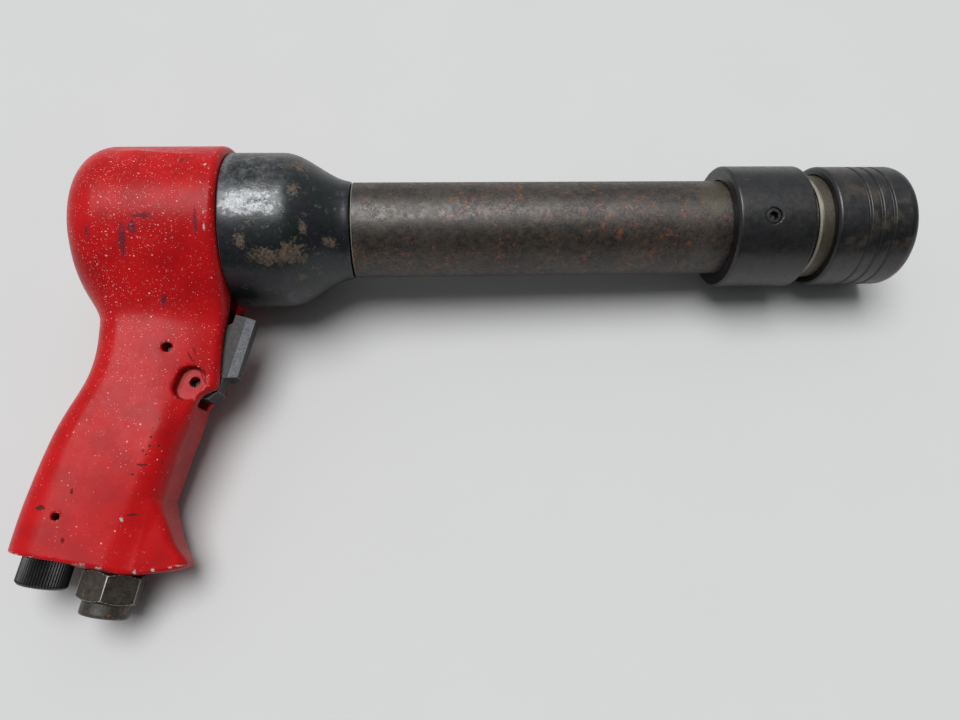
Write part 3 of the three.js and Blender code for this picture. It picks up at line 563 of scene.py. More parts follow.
def soft_material(name, colour, roughness):
    """Rubber or plastic, faintly mottled."""
    p = Paint(name)
    colour = p.mix(p.noise(2, 3), colour, tuple(0.7 * c for c in colour))
    rough = p.uneven(1, roughness - 0.05, roughness + 0.05, 3)
    p.set(Base_Color=colour, Roughness=rough, Normal=p.bump(p.noise(0.6, 3), 0.03))
    return p.material


FINISH = {
    "red_paint": red_paint(),
    "blued_steel": blued_steel(),
    "aged_steel": aged_steel(),
    "black_oxide": black_oxide(),
    "bright_steel": plain_metal("bright_steel", (0.55, 0.54, 0.52), (0.34, 0.33, 0.32), 0.3),
    "grey_steel": grey_steel(),
    "spring_steel": plain_metal("spring_steel", (0.36, 0.36, 0.37), (0.2, 0.2, 0.21), 0.34),
    "seal_rubber": soft_material("seal_rubber", (0.02, 0.02, 0.02), 0.7),
    "nylon": soft_material("nylon", (0.68, 0.64, 0.52), 0.5),
}


# ---- building pieces ----
def shape_attributes(mesh, wear=1.0):
    """Writes how sharply each point stands out (edge) or lies in a hollow, from 0 to 1."""
    count = len(mesh.vertices)
    points = np.empty(count * 3, np.float32)
    mesh.vertices.foreach_get("co", points)
    points = points.reshape(-1, 3)
    normals = np.empty(count * 3, np.float32)
    mesh.vertex_normals.foreach_get("vector", normals)
    normals = normals.reshape(-1, 3)
    ends = np.empty(len(mesh.edges) * 2, np.int32)
    mesh.edges.foreach_get("vertices", ends)
    first, second = ends.reshape(-1, 2).T
    way = points[second] - points[first]
    way /= np.maximum(np.linalg.norm(way, axis=1), 1e-9)[:, None]
    total = np.bincount(first, (normals[first] * way).sum(1), count)
    total -= np.bincount(second, (normals[second] * way).sum(1), count)
    bend = -total / np.maximum(np.bincount(first, minlength=count) + np.bincount(second, minlength=count), 1)
    for name, value in (("edge", wear * (bend - 0.03) / 0.09), ("hollow", (-bend - 0.02) / 0.08)):
        layer = mesh.attributes.new(name, "FLOAT", "POINT")
        layer.data.foreach_set("value", np.clip(value, 0, 1).astype(np.float32))


def put(name, data):
    """Adds an object to the scene."""
    made = bpy.data.objects.new(name, data)
    bpy.context.scene.collection.objects.link(made)
    return made


def skin(name, points, faces):
    """An object from points in the tool's frame and faces."""
    mesh = bpy.data.meshes.new(name)
    mesh.from_pydata((ORIGIN + MM * np.asarray(points)).tolist(), [], faces)
    return put(name, mesh)


def from_shape(name, shape):
    """An object from a bmesh in the tool's frame."""
    mesh = bpy.data.meshes.new(name)
    shape.to_mesh(mesh)
    shape.free()
    mesh.transform(Matrix.Translation(ORIGIN) @ Matrix.Scale(MM, 4))
    return put(name, mesh)


def stand_in(piece, body, node, slot):
    """Gives a piece its finish and lets it ride on a body in place of a CAD node."""
    piece.data.materials.clear()
    piece.data.materials.append(FINISH[slot])
    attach(piece, body)
    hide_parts(node)


def add_piece(piece, body, node, slot, sharp_degrees=38, wear=1.0):
    """Shades a piece, marks its edges and hollows, and stands it in for a CAD node."""
    piece.data.shade_smooth()
    piece.data.set_sharp_from_angle(angle=math.radians(sharp_degrees))
    shape_attributes(piece.data, wear)
    stand_in(piece, body, node, slot)


def softened(corners, support=0.7):
    """A closed outline of [along, radius, rounding] corners, with the rounded ones as curves."""
    row = []
    count = len(corners)
    for i, (x, r, rounding) in enumerate(corners):
        corner = np.array([x, r], float)
        if rounding <= 0:
            row.append(corner)
            continue
        before = np.array(corners[i - 1][:2], float) - corner
        after = np.array(corners[(i + 1) % count][:2], float) - corner
        reach_before, reach_after = np.linalg.norm(before), np.linalg.norm(after)
        before /= reach_before
        after /= reach_after
        size = min(rounding, 0.45 * reach_before, 0.45 * reach_after)
        if reach_before > 2 * (size + support):
            row.append(corner + before * (size + support))
        for share in np.linspace(0, 1, 6):
            start, end = (1 - share) ** 2 * size, share**2 * size
            row.append(corner + before * start + after * end)
        if reach_after > 2 * (size + support):
            row.append(corner + after * (size + support))
    return [tuple(point) for point in row]


def ring_points(start, direction, along, radius, angles):
    """Points around an axis. The angle is measured from +Z, or from +X where the axis is +Z."""
    direction = np.asarray(direction, float)
    reference = OUT if abs(direction[2]) < 0.9 else ALONG_BARREL
    first = reference - direction * (reference @ direction)
    first /= np.linalg.norm(first)
    second = np.cross(direction, first)
    around = np.cos(angles)[:, None] * first + np.sin(angles)[:, None] * second
    return np.asarray(start) + np.outer(np.broadcast_to(along, angles.shape), direction) + (
        around * np.broadcast_to(radius, angles.shape)[:, None]
    )


def spun(rows, start, direction, segments):
    """A closed body around an axis, as a bmesh. Each row holds the place along the axis and the
    radius, as numbers or as one value per segment. Rows at radius 0 become one point."""
    angles = np.arange(segments) * (2 * math.pi / segments)
    points, rings = [], []
    for along, radius in rows:
        if np.max(radius) < 1e-6:
            rings.append([len(points)] * segments)
            points.append(np.asarray(start) + np.asarray(direction) * np.max(along))
        else:
            rings.append(list(range(len(points), len(points) + segments)))
            points.extend(ring_points(start, direction, along, radius, angles))
    faces = []
    count = len(rings)
    for i in range(count):
        low, high = rings[i], rings[(i + 1) % count]
        if low[0] == low[1] and high[0] == high[1]:
            continue
        for k in range(segments):
            n = (k + 1) % segments
            face = [low[k], high[k], high[n], low[n]]
            faces.append(tuple(dict.fromkeys(face)))
    shape = bmesh.new()
    made = [shape.verts.new(tuple(point)) for point in points]
    for face in faces:
        shape.faces.new([made[i] for i in face])
    bmesh.ops.recalc_face_normals(shape, faces=shape.faces)
    return shape


def turned(name, corners, body, node, slot, segments=SEGMENTS, wear=1.0):
    """A piece turned around the barrel's axis, from a closed outline of its cross-section."""
    piece = from_shape(name, spun(softened(corners), np.zeros(3), ALONG_BARREL, segments))
    add_piece(piece, body, node, slot, wear=wear)
    return piece


def hexagon(flats, segments, turn=0.0):
    """The radius of a hexagon at each segment."""
    angles = np.arange(segments) * (2 * math.pi / segments) + turn
    return flats / 2 / np.cos((angles + math.pi / 6) % (math.pi / 3) - math.pi / 6)


# ---- handle ----
def smooth_reader(points, steps=24):
    """A smooth curve through [along, value] points, read at any place along."""
    points = np.array(points, float)
    padded = np.vstack([points[0], points, points[-1]])
    rows = []
    for a, b, c, d in zip(padded, padded[1:], padded[2:], padded[3:]):
        for t in np.linspace(0, 1, steps, endpoint=False):
            pull_b, pull_c = (c - a) / 2, (d - b) / 2
            rows.append(
                (2 * t**3 - 3 * t**2 + 1) * b + (t**3 - 2 * t**2 + t) * pull_b
                + (3 * t**2 - 2 * t**3) * c + (t**3 - t**2) * pull_c
            )
    rows = np.array(rows + [points[-1]])
    return lambda along: np.interp(along, rows[:, 0], rows[:, 1])


# Places across the grip of its edges: [along the grip, across it].
grip_rear = smooth_reader([
    [10, -94.5], [32, -93.6], [46, -88], [62, -82.2], [80, -80], [104, -84.6], [128, -86.4],
    [GRIP_END, -86.2],
])
grip_front = smooth_reader([
    [10, -46.5], [44, -39], [60, -36.2], [75, -33.6], [78, -35.6], [82, -39], [92, -39.3],
    [101, -40.3], [114, -40.8], [125, -41.5], [GRIP_END, -43.5],
])
grip_flank_front = smooth_reader([[10, -46.5], [44, -39], [60, -36.2], [78, -36.2], [92, -38], [114, -40]])
toe_front = smooth_reader([[116, -52], [120, -43], [124, -39.0], [133, -33.2], [140, -28], [GRIP_END, -40]])
SLOT_OUTLINE = [
    grip_point(*corner)[:2]
    for corner in ((36, -20), (36, THROTTLE_FACE), (74, THROTTLE_FACE), (82, -46), (90, -20))
]


def smooth_share(value, low, high):
    share = np.clip((value - low) / (high - low), 0, 1)
    return share * share * (3 - 2 * share)


def both(a, b, rounding):
    """What lies in both solids, with a rounded edge."""
    outside = np.hypot(np.maximum(a + rounding, 0), np.maximum(b + rounding, 0))
    return np.minimum(np.maximum(a, b), -rounding) + outside


def either(a, b, fillet):
    """What lies in either solid, with a fillet where they meet."""
    inside = np.hypot(np.maximum(fillet - a, 0), np.maximum(fillet - b, 0))
    return np.maximum(np.minimum(a, b), fillet) - inside


def cylinder(x, y, z, start, direction, radius, low, high):
    """Distance to a round bore that runs from low to high along a direction."""
    px, py, pz = x - start[0], y - start[1], z - start[2]
    along = px * direction[0] + py * direction[1] + pz * direction[2]
    square = px * px + py * py + pz * pz - along * along
    return np.maximum(np.sqrt(np.maximum(square, 0)) - radius, np.maximum(low - along, along - high))


def polygon_distance(x, y, corners):
    """Signed distance to a flat polygon, negative inside."""
    nearest = np.full(x.shape, 1e9, np.float32)
    inside = np.zeros(x.shape, bool)
    for (ax, ay), (bx, by) in zip(corners, corners[1:] + corners[:1]):
        ex, ey = bx - ax, by - ay
        wx, wy = x - ax, y - ay
        share = np.clip((wx * ex + wy * ey) / (ex * ex + ey * ey), 0, 1)
        nearest = np.minimum(nearest, np.hypot(wx - ex * share, wy - ey * share))
        crosses = (ay > y) != (by > y)
        inside ^= crosses & (x < ex * (y - ay) / (ey if ey else 1e-9) + ax)
    return np.where(inside, -nearest, nearest)


def grip_distance(along, across, z):
    """The grip: a curved section above, an oval one below, and a toe at its foot."""
    flank = np.abs(z)
    front, rear = grip_front(along), grip_rear(along)
    share = np.clip((across - CROWN_START) / (grip_flank_front(along) - CROWN_START), 0, 1.2)
    upper = both((flank - GRIP_HALF + GRIP_CROWN * share**2) * 0.92, across - front, UPPER_FRONT_ROUND)
    taper = TAPER_TOP + (TAPER_FOOT - TAPER_TOP) * smooth_share(along, 100, GRIP_END)
    side = (flank - LOWER_HALF + taper * np.maximum(across - LOWER_MIDDLE, 0)) / np.hypot(1, taper)
    lower = both(side, across - front, GRIP_FRONT_ROUND)
    oval = smooth_share(along, UPPER_END, LOWER_START)
    grip = upper + (lower - upper) * oval
    grip = both(grip, rear - across, GRIP_REAR_ROUND)
    grip = both(grip, along - GRIP_END, FOOT_ROUND)
    slant = TOE_SLANT * np.maximum(across - TOE_START, 0)
    toe = both(flank - TOE_HALF + slant, (across - toe_front(along)) * 0.8, TOE_ROUND)
    toe = both(np.maximum(toe, TOE_REAR - across), along - GRIP_END, FOOT_ROUND)
    return either(grip, toe, TOE_FILLET)


def handle_distance(x, y, z):
    """Signed distance to the handle's surface, negative inside."""
    head_r = HEAD_R + (HEAD_FRONT_R - HEAD_R) * (x - HEAD_REAR) / (HEAD_FRONT - HEAD_REAR)
    radius = np.hypot(y, z)
    head = both(radius - head_r, HEAD_REAR - x, HEAD_REAR_ROUND)
    along = -(x * SIN + y * COS)
    across = x * COS - y * SIN
    grip = np.maximum(grip_distance(along, across, z), 6 - along)
    fillet = HEAD_FILLET + HEAD_FILLET_MORE * smooth_share(across - grip_rear(along), 3, 15)
    solid = either(head, grip, fillet)
    solid = both(solid, x - HEAD_FRONT, HEAD_FRONT_ROUND)
    # the bore for the bell's spigot and the chamber behind it
    bore = np.maximum(radius - BORE_R, BORE_END - x)
    chamber = np.maximum(radius - CHAMBER_R, CHAMBER_END - x)
    solid = both(solid, -np.minimum(bore, chamber), 0.6)
    # the trigger's slot, its pivot and the pins
    slot = np.maximum(np.abs(z) - SLOT_HALF, polygon_distance(x, y, SLOT_OUTLINE))
    solid = both(solid, -slot, 0.5)
    px, py = x - PIVOT[0] + POCKET_SHIFT, y - PIVOT[1] - POCKET_SHIFT
    way_x, way_y = POCKET_WAY
    share = np.clip(-(way_x * px + way_y * py) / POCKET_REACH, 0, 1) * POCKET_REACH
    pocket = np.hypot(px + way_x * share, py + way_y * share) - POCKET_R + POCKET_WIDENING * share
    pocket = both(pocket, POCKET_FLOOR - z, 0.7)
    solid = both(solid, -pocket, 0.55)
    cross_pin, regulator_pin = grip_point(*CROSS_PIN), grip_point(*REGULATOR_PIN)
    hinge = np.hypot(x - PIVOT[0], y - PIVOT[1]) - PIVOT_HOLE_R
    cross = np.hypot(x - cross_pin[0], y - cross_pin[1]) - CROSS_HOLE_R
    blind = np.maximum(np.hypot(x - regulator_pin[0], y - regulator_pin[1]) - REGULATOR_HOLE_R, -8 - z)
    solid = both(solid, -np.minimum(np.minimum(hinge, cross), blind), 0.3)
    # air passages, each as its start, direction, radius and the stretch it covers
    beyond = GRIP_END + 5
    start = grip_point(THROTTLE_DOWN, -58)
    way = np.array([CHAMBER_END + 5.0, -8.0, 0.0]) - start
    length = float(np.linalg.norm(way))
    for args in (
        (grip_point(0, INLET_SIDE), DOWN, INLET_BORE_R, 116, beyond),
        (grip_point(0, REGULATOR_SIDE), DOWN, REGULATOR_BORE_R, 108, beyond),
        (grip_point(0, REGULATOR_SIDE + 1), DOWN, 4.0, THROTTLE_DOWN, 110),
        (grip_point(118, 0), SIDE, 3.6, REGULATOR_SIDE, INLET_SIDE),
        (grip_point(THROTTLE_DOWN, 0), SIDE, THROTTLE_BORE_R, -80, THROTTLE_FACE + 1),
        (start, way / length, 4.5, 0, length),
    ):
        solid = np.maximum(solid, -cylinder(x, y, z, *args))
    return solid


def surface_net(distance, low, high, step):
    """Points and quads of a solid's surface, from its signed distance on a grid."""
    size = [int(math.ceil((b - a) / step)) + 1 for a, b in zip(low, high)]
    axes = [np.asarray(a + step * np.arange(n), np.float32) for a, n in zip(low, size)]
    field = np.empty(size, np.float32)
    for i, x in enumerate(axes[0]):
        y, z = np.meshgrid(axes[1], axes[2], indexing="ij")
        field[i] = distance(np.full_like(y, x), y, z)
    corners = np.array([[i, j, k] for i in (0, 1) for j in (0, 1) for k in (0, 1)])
    cell = tuple(n - 1 for n in size)
    inside = field < 0
    filled = np.zeros(cell, np.int8)
    for i, j, k in corners:
        filled += inside[i:i + cell[0], j:j + cell[1], k:k + cell[2]]
    mixed = (filled > 0) & (filled < 8)
    cells = np.argwhere(mixed)
    total, hits = np.zeros((len(cells), 3)), np.zeros(len(cells))
    for a in corners:
        for axis in range(3):
            if a[axis]:
                continue
            b = a.copy()
            b[axis] = 1
            value_a, value_b = field[tuple((cells + a).T)], field[tuple((cells + b).T)]
            crossed = (value_a < 0) != (value_b < 0)
            share = np.where(crossed, value_a / np.where(crossed, value_a - value_b, 1), 0)
            total[crossed] += (a + share[:, None] * (b - a))[crossed]
            hits += crossed
    points = np.asarray(low) + step * (cells + total / hits[:, None])
    index = np.full(cell, -1, np.int64)
    index[mixed] = np.arange(len(cells))
    quads = []
    for axis in range(3):
        u, v = [(1, 2), (2, 0), (0, 1)][axis]
        front = np.take(inside, range(1, size[axis]), axis)
        back = np.take(inside, range(0, size[axis] - 1), axis)
        where = np.argwhere(front != back)
        within = (where[:, u] > 0) & (where[:, v] > 0) & (where[:, u] < cell[u]) & (where[:, v] < cell[v])
        where = where[within]
        around = []
        for du, dv in ((-1, -1), (0, -1), (0, 0), (-1, 0)):
            at = where.copy()
            at[:, u] += du
            at[:, v] += dv
            around.append(index[tuple(at.T)])
        quad = np.stack(around, 1)
        flip = front[tuple(where.T)]
        quad[flip] = quad[flip][:, ::-1]
        quads.append(quad)
    return points, np.vstack(quads)


def settle(points, distance, rounds=3, reach=0.02):
    """Moves points onto the surface where the signed distance is zero."""
    for _ in range(rounds):
        slope = np.empty_like(points)
        for axis in range(3):
            offset = np.zeros(3)
            offset[axis] = reach
            ahead, behind = (points + offset).T, (points - offset).T
            slope[:, axis] = (distance(*ahead) - distance(*behind)) / (2 * reach)
        size = np.maximum((slope**2).sum(1), 0.25)
        step = np.clip(distance(*points.T) / size, -0.5, 0.5)
        points = points - slope * step[:, None]
    return points


def make_handle():
    step = HANDLE_GRID
    points, quads = surface_net(handle_distance, HANDLE_LOW, HANDLE_HIGH, step)
    points = settle(points, handle_distance)
    add_piece(skin("handle_casting", points, quads.tolist()), "frame", "handle", "red_paint", 50)


# ---- turned pieces ----
def bell_radius(x):
    """The bell's outer radius: straight, then an S-shaped shoulder that is a little full lower down."""
    fall = 0.5 - 0.5 * math.cos(math.pi * min(max((x + SHOULDER) / SHOULDER, 0), 1))
    fullness = 0.6 * math.sin(math.pi * min(max(-x / SHOULDER, 0), 1))
    return BELL_R + (BARREL_R + 0.3 - BELL_R) * fall + fullness * fall


def make_bell():
    rim = HEAD_FRONT + GAP
    outside = [(x, bell_radius(x), 0) for x in np.linspace(rim + 2, -0.9, 46)]
    corners = [
        (-74.5, 22.3, 0.2), (-74.5, 27, 0.4), (-71.6, 27, 0.2), (-71.6, 25.2, 0.2), (-68.4, 25.2, 0.2),
        (-68.4, 27, 0.2), (rim, 27, 0.3), (rim, BELL_R, 0.5), *outside, (0, BARREL_R + 0.1, 0.3),
        (0, 15.3, 0.2), (-38, 15.3, 0), (-38, 22.3, 0.2),
    ]
    turned("bell_shell", corners, "frame", "bell_housing", "blued_steel")


def make_barrel():
    corners = [
        (-38, 9.8, 0.3), (-38, 15, 0.4), (SEAM, 15, 0.3), (SEAM, BARREL_R - 0.1, 0.4),
        (176, BARREL_R, 0.4), (176, 9.8, 0.4),
    ]
    turned("barrel_tube", corners, "frame", "barrel", "aged_steel")


def make_retainer():
    corners = [
        (NECK_REAR, BARREL_R + GAP, 0.2), (NECK_REAR, NECK_R, 0.4), (COLLAR_FRONT - 1, NECK_R, 0.2),
        (COLLAR_FRONT - 1, NECK_R - 1.5, 0.2), (NECK_STEP, NECK_R - 1.5, 0.3), (NECK_STEP, NECK_R - 0.9, 0.1),
        (NECK_STEP + 1.2, NECK_R, 0.4), (NECK_FRONT, NECK_R, 0.4), (NECK_FRONT, 16.5, 0.5),
        (226.4, 16.5, 0.2), (226.4, 15.3, 0.1), (228.2, 15.3, 0.1), (228.2, 16.5, 0.1), (229.2, 16.5, 0.3),
        (229.2, 13.5, 0.3), (228.2, 12.5, 0.3), (NECK_FRONT + GAP, 12.5, 0.2), (NECK_FRONT + GAP, 11.8, 0.1),
        (176.3, 11.8, 0.1), (176.3, BARREL_R + GAP, 0.2),
    ]
    turned("retainer_neck", corners, "frame", "retainer_body", "aged_steel")
    bushing = [
        (160, 6.45, 0.3), (160, 9.5, 0.4), (176.3, 9.5, 0.1), (176.3, 11.5, 0.3), (196, 11.5, 0.4),
        (196, 7.6, 0.4), (194.8, 6.45, 0.3),
    ]
    turned("shank_guide_bushing", bushing, "frame", "shank_bushing", "black_oxide", segments=96)
    ring = [(226.8, 15.6, 0.25), (226.8, 18.6, 0.35), (227.9, 18.6, 0.35), (227.9, 15.6, 0.25)]
    turned("sleeve_snap_ring", ring, "frame", "sleeve_stop_ring", "spring_steel", segments=96)


def make_sleeve():
    corners = [(SLEEVE_REAR, SLEEVE_R - 1.1, 0.3), (SLEEVE_REAR + 0.9, SLEEVE_R, 0.6)]
    for x in SLEEVE_GROOVES:
        corners += [(x - 0.75, SLEEVE_R, 0.25), (x - 0.15, SLEEVE_R - 0.75, 0.15)]
        corners += [(x + 0.15, SLEEVE_R - 0.75, 0.15), (x + 0.75, SLEEVE_R, 0.25)]
    corners += [(SLEEVE_FRONT - 3.4, SLEEVE_R, 1.6), (SLEEVE_FRONT - 1.2, SLEEVE_R - 0.9, 1.0)]
    corners += [(SLEEVE_FRONT, SLEEVE_R - 2.5, 0.6)]
    corners += [
        (SLEEVE_FRONT, 19.6, 0.5), (226.5, 19.6, 0.2), (226.5, 16.8, 0.2), (224, 16.8, 0.1), (224, 21, 0.1),
        (219.8, 21, 0.3), (213.2, 17.3, 0.3), (208, 17.3, 0.2), (208, 22, 0.2), (SLEEVE_REAR, 22, 0.3),
    ]
    turned("pull_back_sleeve", corners, "sleeve", "retainer_sleeve", "black_oxide", wear=0.4)


def shape_with(piece, operation, other):
    """Joins another object to a piece, or cuts it away, once the piece's modifiers are applied."""
    modifier = piece.modifiers.new(operation.lower(), "BOOLEAN")
    modifier.operation = operation
    modifier.solver = "EXACT"
    modifier.object = other


def apply_modifiers(piece, *helpers):
    """Fixes a piece's shape and removes the objects that its modifiers needed."""
    depsgraph = bpy.context.evaluated_depsgraph_get()
    mesh = bpy.data.meshes.new_from_object(piece.evaluated_get(depsgraph))
    piece.modifiers.clear()
    old = piece.data
    piece.data = mesh
    bpy.data.meshes.remove(old)
    for helper in helpers:
        bpy.data.objects.remove(helper)


def drill(piece, start, direction, radius, low, high, chamfer=0.35):
    """Cuts a round hole from low to high along a direction, with a small chamfer at high."""
    wide = radius + chamfer
    rows = [(low, 0), (low, radius), (high - chamfer, radius), (high, wide), (high + 4, wide), (high + 4, 0)]
    cutter = from_shape("drill", spun(rows, start, direction, 48))
    shape_with(piece, "DIFFERENCE", cutter)
    apply_modifiers(piece, cutter)


def around_barrel(degrees):
    angle = math.radians(degrees)
    return np.array([0.0, math.sin(angle), math.cos(angle)])


def make_collar():
    around_screws = [(SET_SCREW_X + offset, COLLAR_R, 0) for offset in range(-6, 7)]
    corners = [
        (COLLAR_REAR, BARREL_R + GAP, 0.4), (COLLAR_REAR, COLLAR_R - 1.1, 0.2),
        (COLLAR_REAR + 0.9, COLLAR_R, 0.5), *around_screws, (COLLAR_FRONT - 0.7, COLLAR_R, 0.5),
        (COLLAR_FRONT, COLLAR_R - 0.8, 0.3), (COLLAR_FRONT, NECK_R + GAP, 0.4),
        (158, NECK_R + GAP, 0.2), (158, BARREL_R + GAP, 0.2),
    ]
    collar = turned("lock_collar_ring", corners, "frame", "lock_collar", "black_oxide")
    for degrees in SET_SCREW_ANGLES:
        start = np.array([SET_SCREW_X, 0, 0])
        drill(collar, start, around_barrel(degrees), SET_SCREW_R + 0.25, 19, COLLAR_R - 0.05)
    for i, degrees in enumerate(SET_SCREW_ANGLES):
        make_set_screw(i + 1, around_barrel(degrees))


def make_set_screw(number, direction):
    segments = 72
    top, floor, socket = COLLAR_R - 0.45, COLLAR_R - 3.2, hexagon(3.3, segments)
    low = NECK_R + GAP
    rows = [
        (low, 0), (low, SET_SCREW_R - 0.3), (low + 0.3, SET_SCREW_R), (top - 0.45, SET_SCREW_R),
        (top, SET_SCREW_R - 0.4), (top, SET_SCREW_R - 0.7), (top, socket + 0.12), (top - 0.12, socket),
        (floor, socket), (floor, socket * 0.5), (floor - 0.3, 0),
    ]
    name = f"set_screw_{number}"
    piece = from_shape(f"socket_{name}", spun(rows, np.array([SET_SCREW_X, 0, 0]), direction, segments))
    add_piece(piece, "frame", name, "black_oxide", 30, wear=0.25)


# ---- trigger and pins ----
TRIGGER_OUTLINE = [
    (-41.5, -38.7), (-47.7, -62.6), (-49.5, -68.2), (-53, -71), (-57.5, -70.6), (-60.5, -67.8),
    (-60.6, -64), (-56.5, -60.5), (-54.8, -46.5),
]
PAD_HALF = 5.0
PAD_FACE_HALF = 2.6
PAD_FOOT = 1.2
PAD_BEVEL = 4.2
PLATE_SIDES = (-4.7, 4.7)
SMALL_FACE = 1.0 * MM * MM


def prism(rings):
    """A closed body over rings of points that match one to one."""
    shape = bmesh.new()
    made = [[shape.verts.new(tuple(point)) for point in ring] for ring in rings]
    count = len(rings[0])
    for low, high in zip(made, made[1:]):
        for k in range(count):
            shape.faces.new([low[k], low[(k + 1) % count], high[(k + 1) % count], high[k]])
    shape.faces.new(made[0])
    shape.faces.new(made[-1])
    bmesh.ops.recalc_face_normals(shape, faces=shape.faces)
    return shape


def trigger_pad():
    top, end = np.array(TRIGGER_OUTLINE[0]), np.array(TRIGGER_OUTLINE[1])
    up = (top - end) / np.linalg.norm(top - end)
    out = np.array([up[1], -up[0]])
    length = float(np.linalg.norm(top - end))

    def corners(half, near, far, stand):
        rows = ((near, -half), (far, -half), (far, half), (near, half))
        return [(*(end + up * u + out * stand), z) for u, z in rows]

    return prism([
        corners(PAD_HALF, 0, length, -3.2),
        corners(PAD_HALF, 0, length, PAD_FOOT),
        corners(PAD_FACE_HALF, 1.4, length + 0.3, PAD_BEVEL),
    ])


def make_trigger():
    lever = from_shape("trigger_lever", prism([[(x, y, z) for x, y in TRIGGER_OUTLINE] for z in PLATE_SIDES]))
    pad = from_shape("pad", trigger_pad())
    hole_rows = [(-9, 0), (-9, PIVOT_HOLE_R), (9, PIVOT_HOLE_R), (9, 0)]
    hole = from_shape("hole", spun(hole_rows, np.array([*PIVOT, 0]), OUT, 48))
    shape_with(lever, "UNION", pad)
    shape_with(lever, "DIFFERENCE", hole)
    lever.data.shade_smooth()
    bevel = lever.modifiers.new("bevel", "BEVEL")
    bevel.width = 0.35 * MM
    bevel.segments = 3
    bevel.limit_method = "ANGLE"
    bevel.angle_limit = math.radians(20)
    lever.modifiers.new("even_shading", "WEIGHTED_NORMAL")
    apply_modifiers(lever, pad, hole)
    edge = lever.data.attributes.new("edge", "FLOAT", "FACE")
    edge.data.foreach_set("value", [float(face.area < SMALL_FACE) for face in lever.data.polygons])
    stand_in(lever, "trigger", "trigger", "grey_steel")


def make_pin(name, node, place, radius, low, high):
    rows = [
        (low, 0), (low, radius - 0.2), (low + 0.2, radius), (high - 0.25, radius), (high, radius - 0.25),
        (high, 0),
    ]
    piece = from_shape(name, spun(rows, np.array([*place[:2], 0.0]), OUT, 40))
    add_piece(piece, "frame", node, "aged_steel", wear=0)


def make_pins():
    make_pin("trigger_hinge_pin", "trigger_pin", PIVOT, 1.6, -10.4, 4.5)
    make_pin("bushing_cross_pin", "throttle_bushing_pin", grip_point(*CROSS_PIN), 1.4, -13.8, 10.5)
    make_pin("regulator_stop_pin", "regulator_pin", grip_point(*REGULATOR_PIN), 1.0, -7.4, 11.5)


# ---- regulator knob and inlet bushing ----
def make_knob():
    segments = 432
    flutes = 54
    angles = np.arange(segments) * (2 * math.pi / segments)
    wave = 0.5 - 0.5 * np.cos(angles * flutes)
    top, end = 145.4, 155.5
    cut = KNOB_R - 0.42 * wave
    rows = [
        (top, 3.3), (top, KNOB_R - 0.9), (top + 0.25, KNOB_R - 0.55), (top + 0.7, cut), (top + 1.2, cut),
        (end - 1.5, cut), (end - 1.0, cut - 0.05), (end - 0.55, KNOB_R - 0.55), (end - 0.15, KNOB_R - 0.95),
        (end, KNOB_R - 1.4), (end, KNOB_R - 2.6), (end - 0.25, KNOB_R - 3.0), (end - 0.25, 0),
        (151.3, 0), (151.3, 3.3),
    ]
    piece = from_shape("fluted_regulator_knob", spun(rows, grip_point(0, REGULATOR_SIDE), DOWN, segments))
    add_piece(piece, "regulator", "regulator_knob", "black_oxide", 40, wear=0.1)


def make_inlet():
    segments = 216
    corner = hexagon(HEX_FLATS, segments, HEX_TURN)
    top, hex_end, end = 146.2, 156.2, 161.2
    half = HEX_FLATS / 2

    def cone(depth):
        return np.minimum(corner, half - 0.15 + 1.75 * depth)

    nose, bore = 8.2, 5.6
    rows = [(120, 6.4), (120, 7.7), (120.4, 8), (top, 8)]
    rows += [(top + depth, cone(depth)) for depth in (0, 0.2, 0.45, 0.8, 1.2)]
    rows += [(hex_end - depth, cone(depth)) for depth in (1.2, 0.8, 0.45, 0.2, 0)]
    rows += [(hex_end, nose + 0.5), (hex_end + 0.3, nose), (hex_end + 1.0, nose)]
    rows += [(end - 1.4, nose), (end - 0.6, nose), (end - 0.15, nose - 0.25)]
    rows += [(end, nose - 0.6), (end, bore + 0.7), (end - 0.7, bore)]
    pitch = 1.4
    for i in range(10):
        at = end - 1.2 - i * pitch
        rows += [(at, bore), (at - 0.7, bore + 0.45)]
    rows += [(132, bore), (132, 6.4)]
    piece = from_shape("inlet_hex_bushing", spun(rows, grip_point(0, INLET_SIDE), DOWN, segments))
    add_piece(piece, "frame", "inlet_bushing", "aged_steel", 32, wear=0.3)


# ---- springs ----
def make_spring(name, node, start, direction, low, high, radius, wire, turns):
    """A wire coil with closed ends."""
    steps, sides = int(turns * 32), 10
    share = np.linspace(0, 1, steps + 1)
    angle = share * turns * 2 * math.pi
    dead = 1.0 / turns
    closed = 2.05 * wire
    ends = (low + wire, low + wire + closed, high - wire - closed, high - wire)
    along = np.interp(share, (0, dead, 1 - dead, 1), ends)
    middle = ring_points(start, direction, along, radius, angle)
    direction = np.asarray(direction, float)
    points, faces = [], []
    for i, place in enumerate(middle):
        outward = place - start - direction * ((place - start) @ direction)
        outward /= np.linalg.norm(outward)
        for turn in np.arange(sides) * (2 * math.pi / sides):
            points.append(place + wire * (math.cos(turn) * outward + math.sin(turn) * direction))
        if i:
            for k in range(sides):
                n = (k + 1) % sides
                faces.append(((i - 1) * sides + k, (i - 1) * sides + n, i * sides + n, i * sides + k))
    faces += [tuple(range(sides))[::-1], tuple(steps * sides + k for k in range(sides))]
    coil = skin(name, points, faces)
    add_piece(coil, "frame", node, "spring_steel", wear=0)
    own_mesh(coil)


